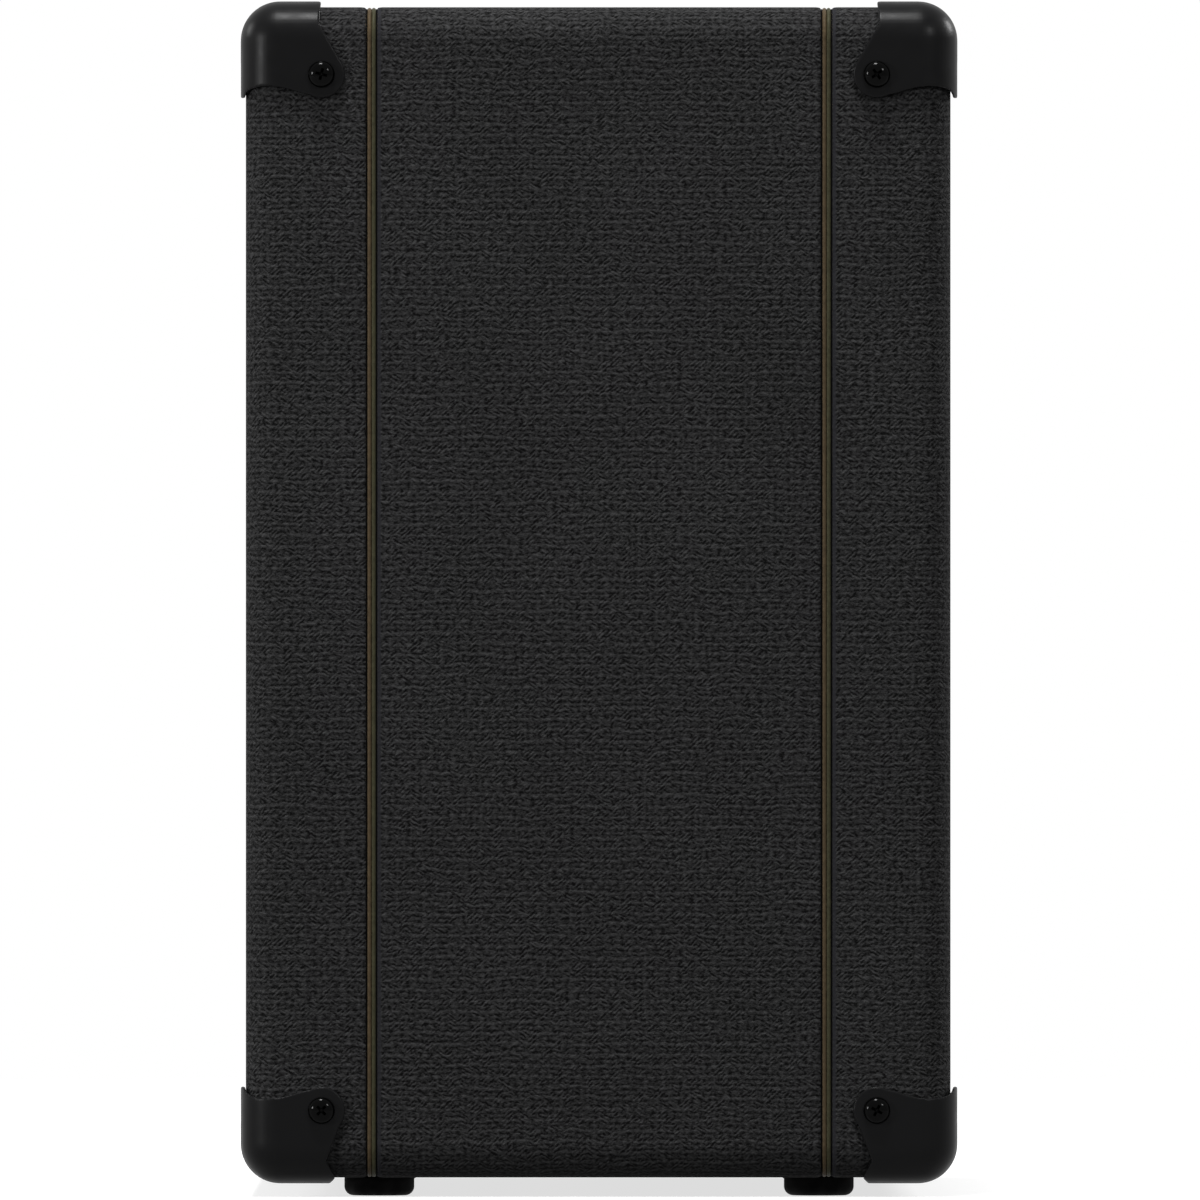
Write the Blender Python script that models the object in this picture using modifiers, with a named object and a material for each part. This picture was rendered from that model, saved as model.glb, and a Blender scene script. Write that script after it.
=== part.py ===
"""Guitar combo amplifier: a vinyl-covered cabinet with one ten-inch speaker.

Metres, +Z up. The origin is the middle of the floor under the amplifier, the front faces -Y,
and X runs across the front. Every piece is its own object in the collection below; cutters
and other helpers are in a second, hidden one.
"""

import math

import bmesh
import bpy
from mathutils import Matrix, Vector

# Clearance between faces that meet
GAP = 0.0003

# Cabinet, measured over the vinyl
BODY_WIDTH = 0.446
BODY_HEIGHT = 0.383
BODY_DEPTH = 0.2312
EDGE_ROUND = 0.011
BOARD = 0.015
VINYL = 0.0008
REBATE_WIDTH = 0.008
REBATE_DEPTH = 0.0063

# Gold piping, two strands side by side in a groove that runs round the cabinet
PIPING_INSET = 0.0412
PIPING_STRAND = 0.0014
PIPING_SUNK = 0.0002
GROOVE_WIDTH = 0.0038

# Corner protectors, their outlines measured from the outer corner
CORNER_WALL = 0.0016
FLAP_REACH_TOP = 0.0265
FLAP_REACH_BOTTOM = 0.0312
FLAP_TAPER_TOP = 0.0005
FLAP_TAPER_BOTTOM = 0.0030
FLAP_ACROSS_TOP = 0.024
FLAP_ACROSS_FRONT = 0.013
FLAP_DROP = 0.0317
FLAP_CUT = 0.009
FLAP_SHOULDER = 0.0075
LOBE_RADIUS = 0.0077
# Edge of the side flap from the lobe under its screw to its tip
FLAP_EDGE = ((0.0198, 0.0301), (0.0131, 0.0282), (0.0068, 0.0279), (0.0031, 0.0286), (0.0012, 0.0310))
SCREW_IN_DEPTH = 0.0267
SCREW_IN_HEIGHT = 0.0240

# Corner screws
SCREW_HEAD_RADIUS = 0.0044
SCREW_HEAD_HEIGHT = 0.0026
SCREW_SHANK_RADIUS = 0.0018
SCREW_SHANK_LENGTH = 0.013

# Feet
FOOT_HEIGHT = 0.006
FOOT_RADIUS = 0.01145
FOOT_INSET_DEPTH = 0.0435
FOOT_INSET_WIDTH = 0.045
FOOT_RECESS_RADIUS = 0.0045
FOOT_RECESS_DEPTH = 0.0030
FOOT_ROUND = 0.0030
FOOT_DRAFT = 0.0005

# Front: grille, rail and control panel
CLOTH_RECESS = 0.007
CLOTH = 0.0009
FRAME_DEPTH = 0.0145
FRAME_BAR = 0.018
BAFFLE = 0.012
RAIL_HEIGHT = 0.012
RAIL_RECESS = 0.0035
RAIL_ROUND = 0.0012
PANEL_HEIGHT = 0.0645
PANEL_SHEET = 0.0015

# Controls, their places across the panel measured from its middle
KNOBS = ("gain", "volume", "bass", "middle", "treble", "reverb")
KNOB_PITCH = 0.038
KNOB_RADIUS = 0.0092
KNOB_FLUTE = 0.0005
KNOB_FLUTES = 12
KNOB_HEIGHT = 0.0150
KNOB_SKIRT_RADIUS = 0.0120
KNOB_SKIRT_HEIGHT = 0.0032
KNOB_STANDOFF = 0.0030
KNOB_ROUND = 0.0010
KNOB_DRAFT = 0.0002
POINTER_WIDTH = 0.0010
POINTER_DEPTH = 0.0006
SHAFT_RADIUS = 0.0030
SHAFT_LENGTH = 0.0120
BUSHING_RADIUS = 0.0045
BUSHING_PROUD = 0.0024
POT_RADIUS = 0.0080
POT_DEPTH = 0.0095
BUTTON_RADIUS = 0.0042
BUTTON_PROUD = 0.0075
BUTTON_ROUND = 0.0006
BUTTON_TRAVEL = 0.0030
BUTTON_STEM_RADIUS = 0.0015
BUTTON_STEM_GRIP = 0.0010
SWITCH_BODY = 0.0090
ROCKER_INSET = 0.048
ROCKER_WIDTH = 0.0110
ROCKER_HEIGHT = 0.0200
ROCKER_RIDGE = 0.0036
ROCKER_DEEP = 0.0050
ROCKER_TILT = 9.0
ROCKER_SET_BACK = 0.0005
ROCKER_PIN_RADIUS = 0.0012
ROCKER_PIN_LENGTH = 0.0008
BEZEL_WALL = 0.0016
BEZEL_FLANGE = 0.0022
BEZEL_FLANGE_SHEET = 0.0012
BEZEL_DEPTH = 0.0130
BEZEL_ROUND = 0.0020
LAMP_PITCH = 0.033
LAMP_RADIUS = 0.0034
LAMP_FLANGE_RADIUS = 0.0050
LAMP_PROUD = 0.0036
LAMP_FLANGE_HEIGHT = 0.0012
LAMP_LENGTH = 0.0120
JACK_INSET = 0.045
JACK_BORE_RADIUS = 0.0034
JACK_BUSHING_RADIUS = 0.0056
JACK_NUT_RADIUS = 0.0080
JACK_NUT = 0.0030
JACK_THREAD_PROUD = 0.0010
JACK_BODY = 0.0160
JACK_DEPTH = 0.0270
JACK_END_WALL = 0.0017

# Chassis and what it carries
CHASSIS_SHEET = 0.0012
CHASSIS_HEIGHT = 0.048
BOARD_SHEET = 0.0016
BOARD_END = 0.028
BOARD_MARGIN = 0.004
TRANSFORMER_PLACE = (0.105, 0.040)
TRANSFORMER_CORE = (0.060, 0.036, 0.030)
TRANSFORMER_WINDING = (0.038, 0.052, 0.024)
TRANSFORMER_WINDING_ROUND = 0.006
TRANSFORMER_STRAP = 0.0024
TRANSFORMER_LUG = 0.012
SINK_PLACE = (-0.070, 0.070)
SINK_WIDTH = 0.100
SINK_LENGTH = 0.040
SINK_HEIGHT = 0.032
SINK_BASE = 0.004
SINK_FIN = 0.0018
SINK_FINS = 9
INLET_INSET = 0.063
INLET_WIDTH = 0.0240
INLET_HEIGHT = 0.0170
INLET_CHAMFER = 0.0040
INLET_WALL = 0.0017
INLET_DEPTH = 0.0160
INLET_FLANGE = 0.0110
INLET_FLANGE_SHEET = 0.0020
INLET_FLANGE_RIM = 0.0015
INLET_FLANGE_ROUND = 0.0030
INLET_BLADE = (0.0020, 0.0120, 0.0040)
INLET_BLADE_PLACES = ((0.0, 0.0040), (-0.0070, -0.0015), (0.0070, -0.0015))

# Back panels
BACK_BOARD = 0.0055
UPPER_BACK_HEIGHT = 0.142
LOWER_BACK_HEIGHT = 0.088
INLET_WINDOW_MARGIN = 0.006
INLET_WINDOW_ROUND = 0.004

# Speaker, its depths measured back from the front of its flange
SPEAKER_FLANGE = 0.0145
HOLE_CLEAR = 0.0015
BASKET_SHEET = 0.0015
RIM_RADIUS = 0.1140
RIM_DEPTH = 0.0070
RIM_LEDGE = 0.0080
SPIDER_RADIUS = 0.0630
SPIDER_DEPTH = 0.0460
SPIDER_LEDGE_RADIUS = 0.0560
BASKET_FLOOR_RADIUS = 0.0520
BASKET_DEPTH = 0.0560
BASKET_BORE_RADIUS = 0.0222
BASKET_WINDOWS = 8
WINDOW_RIM = 0.0060
WINDOW_SLOT = 0.0300
WINDOW_SPAN = 25.0
SURROUND_WIDTH = 0.0060
CONE_SHEET = 0.0010
CONE_EDGE_DEPTH = 0.0056
CONE_NECK_DEPTH = 0.0370
CONE_TRAVEL = 0.0030
COIL_RADIUS = 0.0198
COIL_SHEET = 0.0006
COIL_END_DEPTH = 0.0680
SOFT_SHEET = 0.0008
SURROUND_WAVE = 0.0012
SPIDER_WAVE = 0.0010
DUST_CAP_RADIUS = 0.0270
DUST_CAP_RISE = 0.0090
PLATE_RADIUS = 0.0500
PLATE = 0.0060
MAGNET_RADIUS = 0.0600
MAGNET = 0.0180
COIL_SLOT = 0.0006
COIL_SLOT_DEPTH = 0.0180

# Handle that folds down into a dish in the top
DISH_LENGTH = 0.150
DISH_WIDTH = 0.052
DISH_DEPTH = 0.026
DISH_WALL = 0.002
DISH_FLANGE_END = 0.016
DISH_FLANGE_SIDE = 0.008
DISH_SUNK = 0.0002
DISH_ROUND = 0.010
BAIL_WIRE_RADIUS = 0.0025
BAIL_ARM = 0.030
BAIL_PIVOT_DEPTH = 0.0095
BAIL_PIVOT_SET_BACK = 0.015
BAIL_BEND = 0.005
BOSS_RADIUS = 0.0055
BOSS_LENGTH = 0.0060
REST_WIDTH = 0.005
REST_DEPTH = 0.007
GRIP_RADIUS = 0.0065
GRIP_LENGTH = 0.090
GRIP_WAIST = 0.0005
GRIP_END_RADIUS = 0.0040

# Places that follow from the sizes
SKIN = VINYL + GAP
BODY_BOTTOM = FOOT_HEIGHT + GAP
BODY_TOP = BODY_BOTTOM + BODY_HEIGHT
BODY_MIDDLE = (BODY_BOTTOM + BODY_TOP) / 2
FRONT = -BODY_DEPTH / 2
REAR = BODY_DEPTH / 2
WOOD_REAR = REAR - SKIN
INNER_WIDTH = BODY_WIDTH - 2 * SKIN - 2 * BOARD
INNER_BOTTOM = BODY_BOTTOM + SKIN + BOARD
INNER_TOP = BODY_TOP - SKIN - BOARD
INNER_HEIGHT = INNER_TOP - INNER_BOTTOM
GROOVE_DEPTH = PIPING_SUNK + PIPING_STRAND + GAP
GROOVE_FRONT = FRONT + PIPING_INSET
GROOVE_REAR = REAR - PIPING_INSET
PROUD = GAP + CORNER_WALL
CLOTH_FRONT = FRONT + CLOTH_RECESS
FRAME_FRONT = CLOTH_FRONT + CLOTH + GAP
BAFFLE_FRONT = FRAME_FRONT + FRAME_DEPTH + GAP
BAFFLE_BACK = BAFFLE_FRONT + BAFFLE
RAIL_TOP = INNER_TOP - PANEL_HEIGHT
RAIL_BOTTOM = RAIL_TOP - RAIL_HEIGHT
PANEL_FRONT = BAFFLE_FRONT
PANEL_BACK = PANEL_FRONT + PANEL_SHEET
CONTROL_HEIGHT = (RAIL_TOP + INNER_TOP) / 2
CHASSIS_FRONT = PANEL_BACK + GAP
CHASSIS_INSIDE = CHASSIS_FRONT + CHASSIS_SHEET
CHASSIS_BOTTOM = RAIL_TOP + GAP
CHASSIS_FLOOR = CHASSIS_BOTTOM + CHASSIS_SHEET
CHASSIS_TOP = CHASSIS_BOTTOM + CHASSIS_HEIGHT
REBATE_FLOOR = WOOD_REAR - REBATE_DEPTH
CHASSIS_REAR = REBATE_FLOOR - GAP
BACK_FRONT = REBATE_FLOOR + GAP
BACK_WIDTH = INNER_WIDTH + 2 * (REBATE_WIDTH - GAP)
POT_FRONT = CHASSIS_INSIDE + GAP
CIRCUIT_FRONT = POT_FRONT + POT_DEPTH
BOARD_WIDTH = 2 * (BODY_WIDTH / 2 - JACK_INSET - BOARD_END)
JACK_PLACE = JACK_INSET - BODY_WIDTH / 2
BUTTON_PLACE = JACK_PLACE + KNOB_PITCH
ROCKER_PLACE = BODY_WIDTH / 2 - ROCKER_INSET
LAMP_PLACE = ROCKER_PLACE - LAMP_PITCH
INLET_PLACE = BODY_WIDTH / 2 - INLET_INSET
SPEAKER_RADIUS = RIM_RADIUS + SPEAKER_FLANGE
SPEAKER_HOLE_RADIUS = RIM_RADIUS + HOLE_CLEAR
RIM_LEDGE_RADIUS = RIM_RADIUS - RIM_LEDGE
WINDOW_OUTER_RADIUS = RIM_LEDGE_RADIUS - WINDOW_RIM
WINDOW_INNER_RADIUS = WINDOW_OUTER_RADIUS - WINDOW_SLOT
CONE_RADIUS = RIM_LEDGE_RADIUS - SURROUND_WIDTH
SPEAKER_FACE = BAFFLE_BACK + GAP
SPEAKER_HEIGHT = (INNER_BOTTOM + RAIL_TOP) / 2
DISH_TOP = BODY_TOP - DISH_SUNK
BAIL_PIVOT = Vector((0.0, BAIL_PIVOT_SET_BACK, DISH_TOP - BAIL_PIVOT_DEPTH))

# How an outline's own plane is turned to be square to each axis
FACING = {
    "X": Matrix(((0, 0, 1, 0), (1, 0, 0, 0), (0, 1, 0, 0), (0, 0, 0, 1))),
    "Y": Matrix(((1, 0, 0, 0), (0, 0, -1, 0), (0, 1, 0, 0), (0, 0, 0, 1))),
    "Z": Matrix.Identity(4),
}
AXIS = {"X": Vector((1, 0, 0)), "Y": Vector((0, 1, 0)), "Z": Vector((0, 0, 1))}
# Turns a piece made about Z so that its top faces the front of the amplifier
FACE_FRONT = Matrix.Rotation(math.pi / 2, 4, "X")
# How far a cutter reaches past the face that it cuts
REACH = 0.004
# Straight steps in the rounding of one edge of the cabinet
EDGE_STEPS = 5
# Points closer than this are one point
MERGE = 0.000001
# A bend in a thickened profile is filled out to at most the inverse of this times its wall
MITRE_LIMIT = 0.5
# Faces that meet at more than this angle keep a sharp edge between them
SHARP_ANGLE = math.radians(35)


def new_collection(name):
    collection = bpy.data.collections.new(name)
    bpy.context.scene.collection.children.link(collection)
    return collection


for leftover in list(bpy.data.objects):
    bpy.data.objects.remove(leftover)
PARTS = new_collection("guitar_combo_amplifier")
CUTTERS = new_collection("cutters")

FINISHES = {
    "vinyl": ((0.019, 0.019, 0.019), 0.55, 0.0),
    "wood": ((0.46, 0.33, 0.20), 0.75, 0.0),
    "gold piping": ((0.060, 0.048, 0.030), 0.42, 0.0),
    "corner plastic": ((0.012, 0.012, 0.012), 0.32, 0.0),
    "screw": ((0.014, 0.014, 0.014), 0.22, 0.9),
    "rubber": ((0.010, 0.010, 0.010), 0.80, 0.0),
    "cloth": ((0.030, 0.029, 0.027), 0.90, 0.0),
    "panel": ((0.020, 0.020, 0.021), 0.38, 0.6),
    "zinc steel": ((0.50, 0.50, 0.48), 0.42, 1.0),
    "circuit": ((0.035, 0.11, 0.05), 0.50, 0.0),
    "knob": ((0.013, 0.013, 0.013), 0.30, 0.0),
    "lens": ((0.50, 0.02, 0.015), 0.15, 0.0),
    "dark steel": ((0.030, 0.030, 0.032), 0.40, 0.8),
    "paper": ((0.022, 0.021, 0.020), 0.85, 0.0),
    "spider": ((0.40, 0.25, 0.10), 0.90, 0.0),
    "aluminium": ((0.30, 0.30, 0.31), 0.45, 1.0),
    "core": ((0.10, 0.10, 0.11), 0.45, 0.8),
}


def dress(piece, finish):
    """Give a piece a material of its own in one of the finishes above."""
    colour, roughness, metallic = FINISHES[finish]
    material = bpy.data.materials.new(f"{piece.name} {finish}")
    material.use_nodes = True
    shader = material.node_tree.nodes["Principled BSDF"]
    shader.inputs["Base Color"].default_value = (*colour, 1.0)
    shader.inputs["Roughness"].default_value = roughness
    shader.inputs["Metallic"].default_value = metallic
    piece.data.materials.clear()
    piece.data.materials.append(material)
    piece.data.shade_smooth()
    piece.data.set_sharp_from_angle(angle=SHARP_ANGLE)
    return piece


def new_object(name, data, matrix=None):
    piece = bpy.data.objects.new(name, data)
    PARTS.objects.link(piece)
    if matrix is not None:
        piece.matrix_world = matrix
    return piece


def as_tool(piece):
    """Move a piece to the cutters: it shapes other pieces and isn't one itself."""
    PARTS.objects.unlink(piece)
    CUTTERS.objects.link(piece)
    piece.hide_render = True
    piece.display_type = "WIRE"
    return piece


def boolean(piece, operation, tools):
    for tool in tools:
        if tool.name not in CUTTERS.objects:
            as_tool(tool)
        step = piece.modifiers.new(tool.name, "BOOLEAN")
        step.operation = operation
        step.solver = "EXACT"
        step.object = tool
    return piece


def cut(piece, *tools):
    return boolean(piece, "DIFFERENCE", tools)


def join(piece, *tools):
    return boolean(piece, "UNION", tools)


def trim(piece, *tools):
    return boolean(piece, "INTERSECT", tools)


def settled(piece):
    """Replace a curve, or a piece with modifiers, by a plain mesh in the same place."""
    bpy.context.view_layer.update()
    evaluated = piece.evaluated_get(bpy.context.evaluated_depsgraph_get())
    mesh = bpy.data.meshes.new_from_object(evaluated)
    name, matrix = piece.name, piece.matrix_world.copy()
    bpy.data.objects.remove(piece)
    solid = bmesh.new()
    solid.from_mesh(mesh)
    bmesh.ops.remove_doubles(solid, verts=solid.verts, dist=MERGE)
    bmesh.ops.recalc_face_normals(solid, faces=solid.faces)
    solid.to_mesh(mesh)
    solid.free()
    mesh.name = name
    return new_object(name, mesh, matrix)


def rectangle(width, height, centre=(0.0, 0.0)):
    middle, level = centre
    return [(middle + side * width / 2, level + up * height / 2)
            for side, up in ((1, 1), (-1, 1), (-1, -1), (1, -1))]


def arc(centre, radius, start, end, steps):
    """Points on an arc, its angles in degrees."""
    angles = [math.radians(start + (end - start) * step / steps) for step in range(steps + 1)]
    return [(centre[0] + radius * math.cos(angle), centre[1] + radius * math.sin(angle))
            for angle in angles]


def circle(radius, centre=(0.0, 0.0), steps=24):
    return arc(centre, radius, 0, 360 - 360 / steps, steps - 1)


def dome(radius, height, steps):
    """A quarter of an ellipse as (radius, height) points, from its top down to its rim."""
    angles = [math.pi / 2 * step / steps for step in range(steps + 1)]
    return [(radius * math.sin(angle), height * math.cos(angle)) for angle in angles]


def rounded_rectangle(width, height, radius, centre=(0.0, 0.0), steps=4):
    points = []
    for quarter, (side, up) in enumerate(((1, 1), (-1, 1), (-1, -1), (1, -1))):
        middle = (centre[0] + side * (width / 2 - radius), centre[1] + up * (height / 2 - radius))
        points += arc(middle, radius, 90 * quarter, 90 * quarter + 90, steps)
    return points


def body_outline(inset):
    """The cabinet seen from the front, a distance in from its vinyl."""
    return rounded_rectangle(BODY_WIDTH - 2 * inset, BODY_HEIGHT - 2 * inset, EDGE_ROUND - inset,
                             (0.0, BODY_MIDDLE), EDGE_STEPS)


def opening_outline(inset):
    """The cabinet's inside seen from the front, a distance in from the boards."""
    return rectangle(INNER_WIDTH - 2 * inset, INNER_HEIGHT - 2 * inset, (0.0, BODY_MIDDLE))


def plate(name, outlines, start, end, facing):
    """A flat outline, and after it its holes, made solid from one level to another on an axis."""
    curve = bpy.data.curves.new(name, "CURVE")
    curve.dimensions = "2D"
    curve.fill_mode = "BOTH"
    curve.extrude = (end - start) / 2
    for outline in outlines:
        spline = curve.splines.new("POLY")
        spline.points.add(len(outline) - 1)
        for point, (across, up) in zip(spline.points, outline):
            point.co = (across, up, 0.0, 1.0)
        spline.use_cyclic_u = True
    middle = Matrix.Translation(AXIS[facing] * (start + end) / 2)
    return settled(new_object(name, curve, middle @ FACING[facing]))


def box(name, size, centre):
    mesh = bpy.data.meshes.new(name)
    solid = bmesh.new()
    bmesh.ops.create_cube(solid, size=1.0, matrix=Matrix.Diagonal((*size, 1.0)))
    solid.to_mesh(mesh)
    solid.free()
    return new_object(name, mesh, Matrix.Translation(centre))


def rods(name, ends, radius, steps=12):
    """Straight rods in one tool, each given by the middles of its two ends."""
    mesh = bpy.data.meshes.new(name)
    solid = bmesh.new()
    for start, end in ends:
        along = Vector(end) - Vector(start)
        turn = along.to_track_quat("Z", "Y").to_matrix().to_4x4()
        middle = Matrix.Translation((Vector(start) + Vector(end)) / 2)
        bmesh.ops.create_cone(solid, cap_ends=True, segments=steps, radius1=radius, radius2=radius,
                              depth=along.length, matrix=middle @ turn)
    solid.to_mesh(mesh)
    solid.free()
    return new_object(name, mesh)


def turned(name, profile, steps, matrix=None, closed=False):
    """A profile of (radius, height) points turned about its own Z axis."""
    mesh = bpy.data.meshes.new(name)
    wire = bmesh.new()
    points = [wire.verts.new((radius, 0.0, height)) for radius, height in profile]
    for first, second in zip(points, points[1:] + points[:1] * closed):
        wire.edges.new((first, second))
    wire.to_mesh(mesh)
    wire.free()
    piece = new_object(name, mesh, matrix)
    screw = piece.modifiers.new("turn", "SCREW")
    screw.steps = steps
    screw.render_steps = steps
    screw.use_merge_vertices = True
    screw.merge_threshold = MERGE
    return settled(piece)


def mirrored(piece, name, axes):
    """A copy of a settled piece, reflected in the planes square to the axes."""
    mesh = piece.data.copy()
    solid = bmesh.new()
    solid.from_mesh(mesh)
    bmesh.ops.transform(solid, matrix=piece.matrix_world, verts=solid.verts)
    for index in axes:
        reflect = Matrix.Identity(4)
        reflect[index][index] = -1.0
        bmesh.ops.transform(solid, matrix=reflect, verts=solid.verts)
        bmesh.ops.reverse_faces(solid, faces=solid.faces)
    solid.to_mesh(mesh)
    solid.free()
    return new_object(name, mesh)


def rounded_body(name, inset):
    """The cabinet as a block with every edge rounded, a distance in from its vinyl."""
    size = (BODY_WIDTH - 2 * inset, BODY_DEPTH - 2 * inset, BODY_HEIGHT - 2 * inset)
    body = box(name, size, (0.0, 0.0, BODY_MIDDLE))
    bevel = body.modifiers.new("round", "BEVEL")
    bevel.width = EDGE_ROUND - inset
    bevel.segments = EDGE_STEPS
    return settled(body)


def thickened(line, thickness):
    """A closed profile from a line of (radius, height) points run inwards, thickened behind it."""
    back = []
    for index, (radius, height) in enumerate(line):
        before = Vector(line[max(index - 1, 0)])
        after = Vector(line[min(index + 1, len(line) - 1)])
        here = Vector((radius, height))
        into = (here - before).normalized() if index else (after - here).normalized()
        out = (after - here).normalized() if index < len(line) - 1 else into
        normal = Vector((-into.y - out.y, into.x + out.x)).normalized()
        reach = thickness / max(normal.dot(Vector((-into.y, into.x))), MITRE_LIMIT)
        back.append(tuple(here + normal * reach))
    return back + list(reversed(line))


def dropped(line, thickness):
    """A closed profile from a line of (radius, height) points run inwards, thickened straight down."""
    return [(radius, height - thickness) for radius, height in line] + list(reversed(line))


def screw_places():
    """Where the corner screws go on one side: name, depth and height."""
    in_depth = BODY_DEPTH / 2 + PROUD - SCREW_IN_DEPTH
    in_height = BODY_HEIGHT / 2 + PROUD - SCREW_IN_HEIGHT
    return [(f"{edge}_{level}", y * in_depth, BODY_MIDDLE + z * in_height)
            for edge, y in (("front", -1), ("rear", 1)) for level, z in (("top", 1), ("bottom", -1))]


def screw_holes():
    outer = BODY_WIDTH / 2 + PROUD
    end = outer + GAP - SCREW_SHANK_LENGTH - GAP
    ends = [((side * (outer + REACH), y, z), (side * end, y, z))
            for side in (-1, 1) for _, y, z in screw_places()]
    return rods("screw_holes", ends, SCREW_SHANK_RADIUS + 2 * GAP, 6)


def board_outline(length):
    """A mitred board seen on its end grain, from its inner face to past its outer one."""
    shift = GAP / math.sqrt(2)
    inner = length / 2 - shift
    outer = inner + BOARD + REACH
    return [(-inner, 0.0), (inner, 0.0), (outer, BOARD + REACH), (-outer, BOARD + REACH)]


def dish_outline(growth):
    return rounded_rectangle(DISH_LENGTH + 2 * growth, DISH_WIDTH + 2 * growth, DISH_ROUND + growth, steps=3)


def flange_outline(growth):
    length = DISH_LENGTH + 2 * (DISH_FLANGE_END + growth)
    width = DISH_WIDTH + 2 * (DISH_FLANGE_SIDE + growth)
    return rounded_rectangle(length, width, DISH_ROUND + DISH_FLANGE_SIDE + growth, steps=3)


def make_cabinet(holes):
    """The four boards, mitred at the corners and rebated behind for the back panels."""
    rounded = rounded_body("rounded_boards", SKIN)
    rebate = plate("back_rebate", [opening_outline(-REBATE_WIDTH)], REBATE_FLOOR, REAR + REACH, "Y")
    groove_ring = [body_outline(-REACH), body_outline(GROOVE_DEPTH)]
    grooves = [plate(f"groove_{index}", groove_ring, y - GROOVE_WIDTH / 2, y + GROOVE_WIDTH / 2, "Y")
               for index, y in enumerate((GROOVE_FRONT, GROOVE_REAR))]
    boards = (
        ("cabinet_top", INNER_WIDTH, 0, 0.0, INNER_TOP),
        ("cabinet_right_side", INNER_HEIGHT, 90, INNER_WIDTH / 2, BODY_MIDDLE),
        ("cabinet_bottom", INNER_WIDTH, 180, 0.0, INNER_BOTTOM),
        ("cabinet_left_side", INNER_HEIGHT, 270, -INNER_WIDTH / 2, BODY_MIDDLE),
    )
    for name, length, turn, x, z in boards:
        board = plate(name, [board_outline(length)], FRONT - REACH, REAR + REACH, "Y")
        turned_out = Matrix.Rotation(math.radians(turn), 4, "Y")
        board.matrix_world = Matrix.Translation((x, 0.0, z)) @ turned_out @ board.matrix_world
        cut(trim(board, rounded), rebate, *grooves)
        if name.endswith("side"):
            cut(board, holes)
        if name == "cabinet_top":
            cut(board, plate("dish_hole", [dish_outline(GAP)], INNER_TOP - REACH, BODY_TOP + REACH, "Z"))
            floor = DISH_TOP - DISH_WALL - GAP
            cut(board, plate("flange_seat", [flange_outline(GAP)], floor, BODY_TOP + REACH, "Z"))
        dress(board, "wood")


def make_vinyl(holes):
    """The covering: a band over the front edges, one round the middle and one over the rear."""
    outside = rounded_body("covering_outside", 0.0)
    inside = rounded_body("covering_inside", VINYL)
    front_end = GROOVE_FRONT - GROOVE_WIDTH / 2
    past = body_outline(-REACH)
    front = plate("vinyl_front_band", [past, opening_outline(SKIN)], FRONT - REACH, front_end, "Y")
    boards = plate("front_board_room", [past, opening_outline(GAP)], FRONT - REACH, front_end + REACH, "Y")
    turn_in = plate("turn_in_end", [opening_outline(-GAP)], BAFFLE_FRONT - GAP, front_end + REACH, "Y")
    cut(trim(front, outside), trim(boards, inside), turn_in, holes)

    middle_start = GROOVE_FRONT + GROOVE_WIDTH / 2
    middle_end = GROOVE_REAR - GROOVE_WIDTH / 2
    middle = plate("vinyl_centre_band", [body_outline(0.0), body_outline(VINYL)],
                   middle_start, middle_end, "Y")
    cut(middle, plate("flange_window", [flange_outline(GAP)], INNER_TOP, BODY_TOP + REACH, "Z"))

    rear_start = GROOVE_REAR + GROOVE_WIDTH / 2
    rear = plate("vinyl_rear_band", [past, opening_outline(-REBATE_WIDTH)], rear_start, REAR + REACH, "Y")
    cut(trim(rear, outside), inside, holes)
    for band in (front, middle, rear):
        dress(band, "vinyl")


def make_piping():
    """Two round strands side by side, swept round the cabinet in each groove."""
    strand = PIPING_STRAND / 2
    section = arc((0.0, strand), strand, -45, 225, 3) + arc((0.0, -strand), strand, 135, 405, 3)
    profile_curve = bpy.data.curves.new("piping_section", "CURVE")
    profile_curve.dimensions = "2D"
    spline = profile_curve.splines.new("POLY")
    spline.points.add(len(section) - 1)
    for point, (across, up) in zip(spline.points, section):
        point.co = (across, up, 0.0, 1.0)
    spline.use_cyclic_u = True
    profile = as_tool(new_object("piping_section", profile_curve))
    for name, y in (("piping_front", GROOVE_FRONT), ("piping_rear", GROOVE_REAR)):
        path = bpy.data.curves.new(name, "CURVE")
        path.dimensions = "2D"
        path.fill_mode = "NONE"
        path.bevel_mode = "OBJECT"
        path.bevel_object = profile
        spline = path.splines.new("POLY")
        points = body_outline(PIPING_SUNK + strand)
        spline.points.add(len(points) - 1)
        for point, (across, up) in zip(spline.points, points):
            point.co = (across, up, 0.0, 1.0)
        spline.use_cyclic_u = True
        ring = new_object(name, path, Matrix.Translation((0.0, y, 0.0)) @ FACING["Y"])
        dress(settled(ring), "gold piping")


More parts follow.
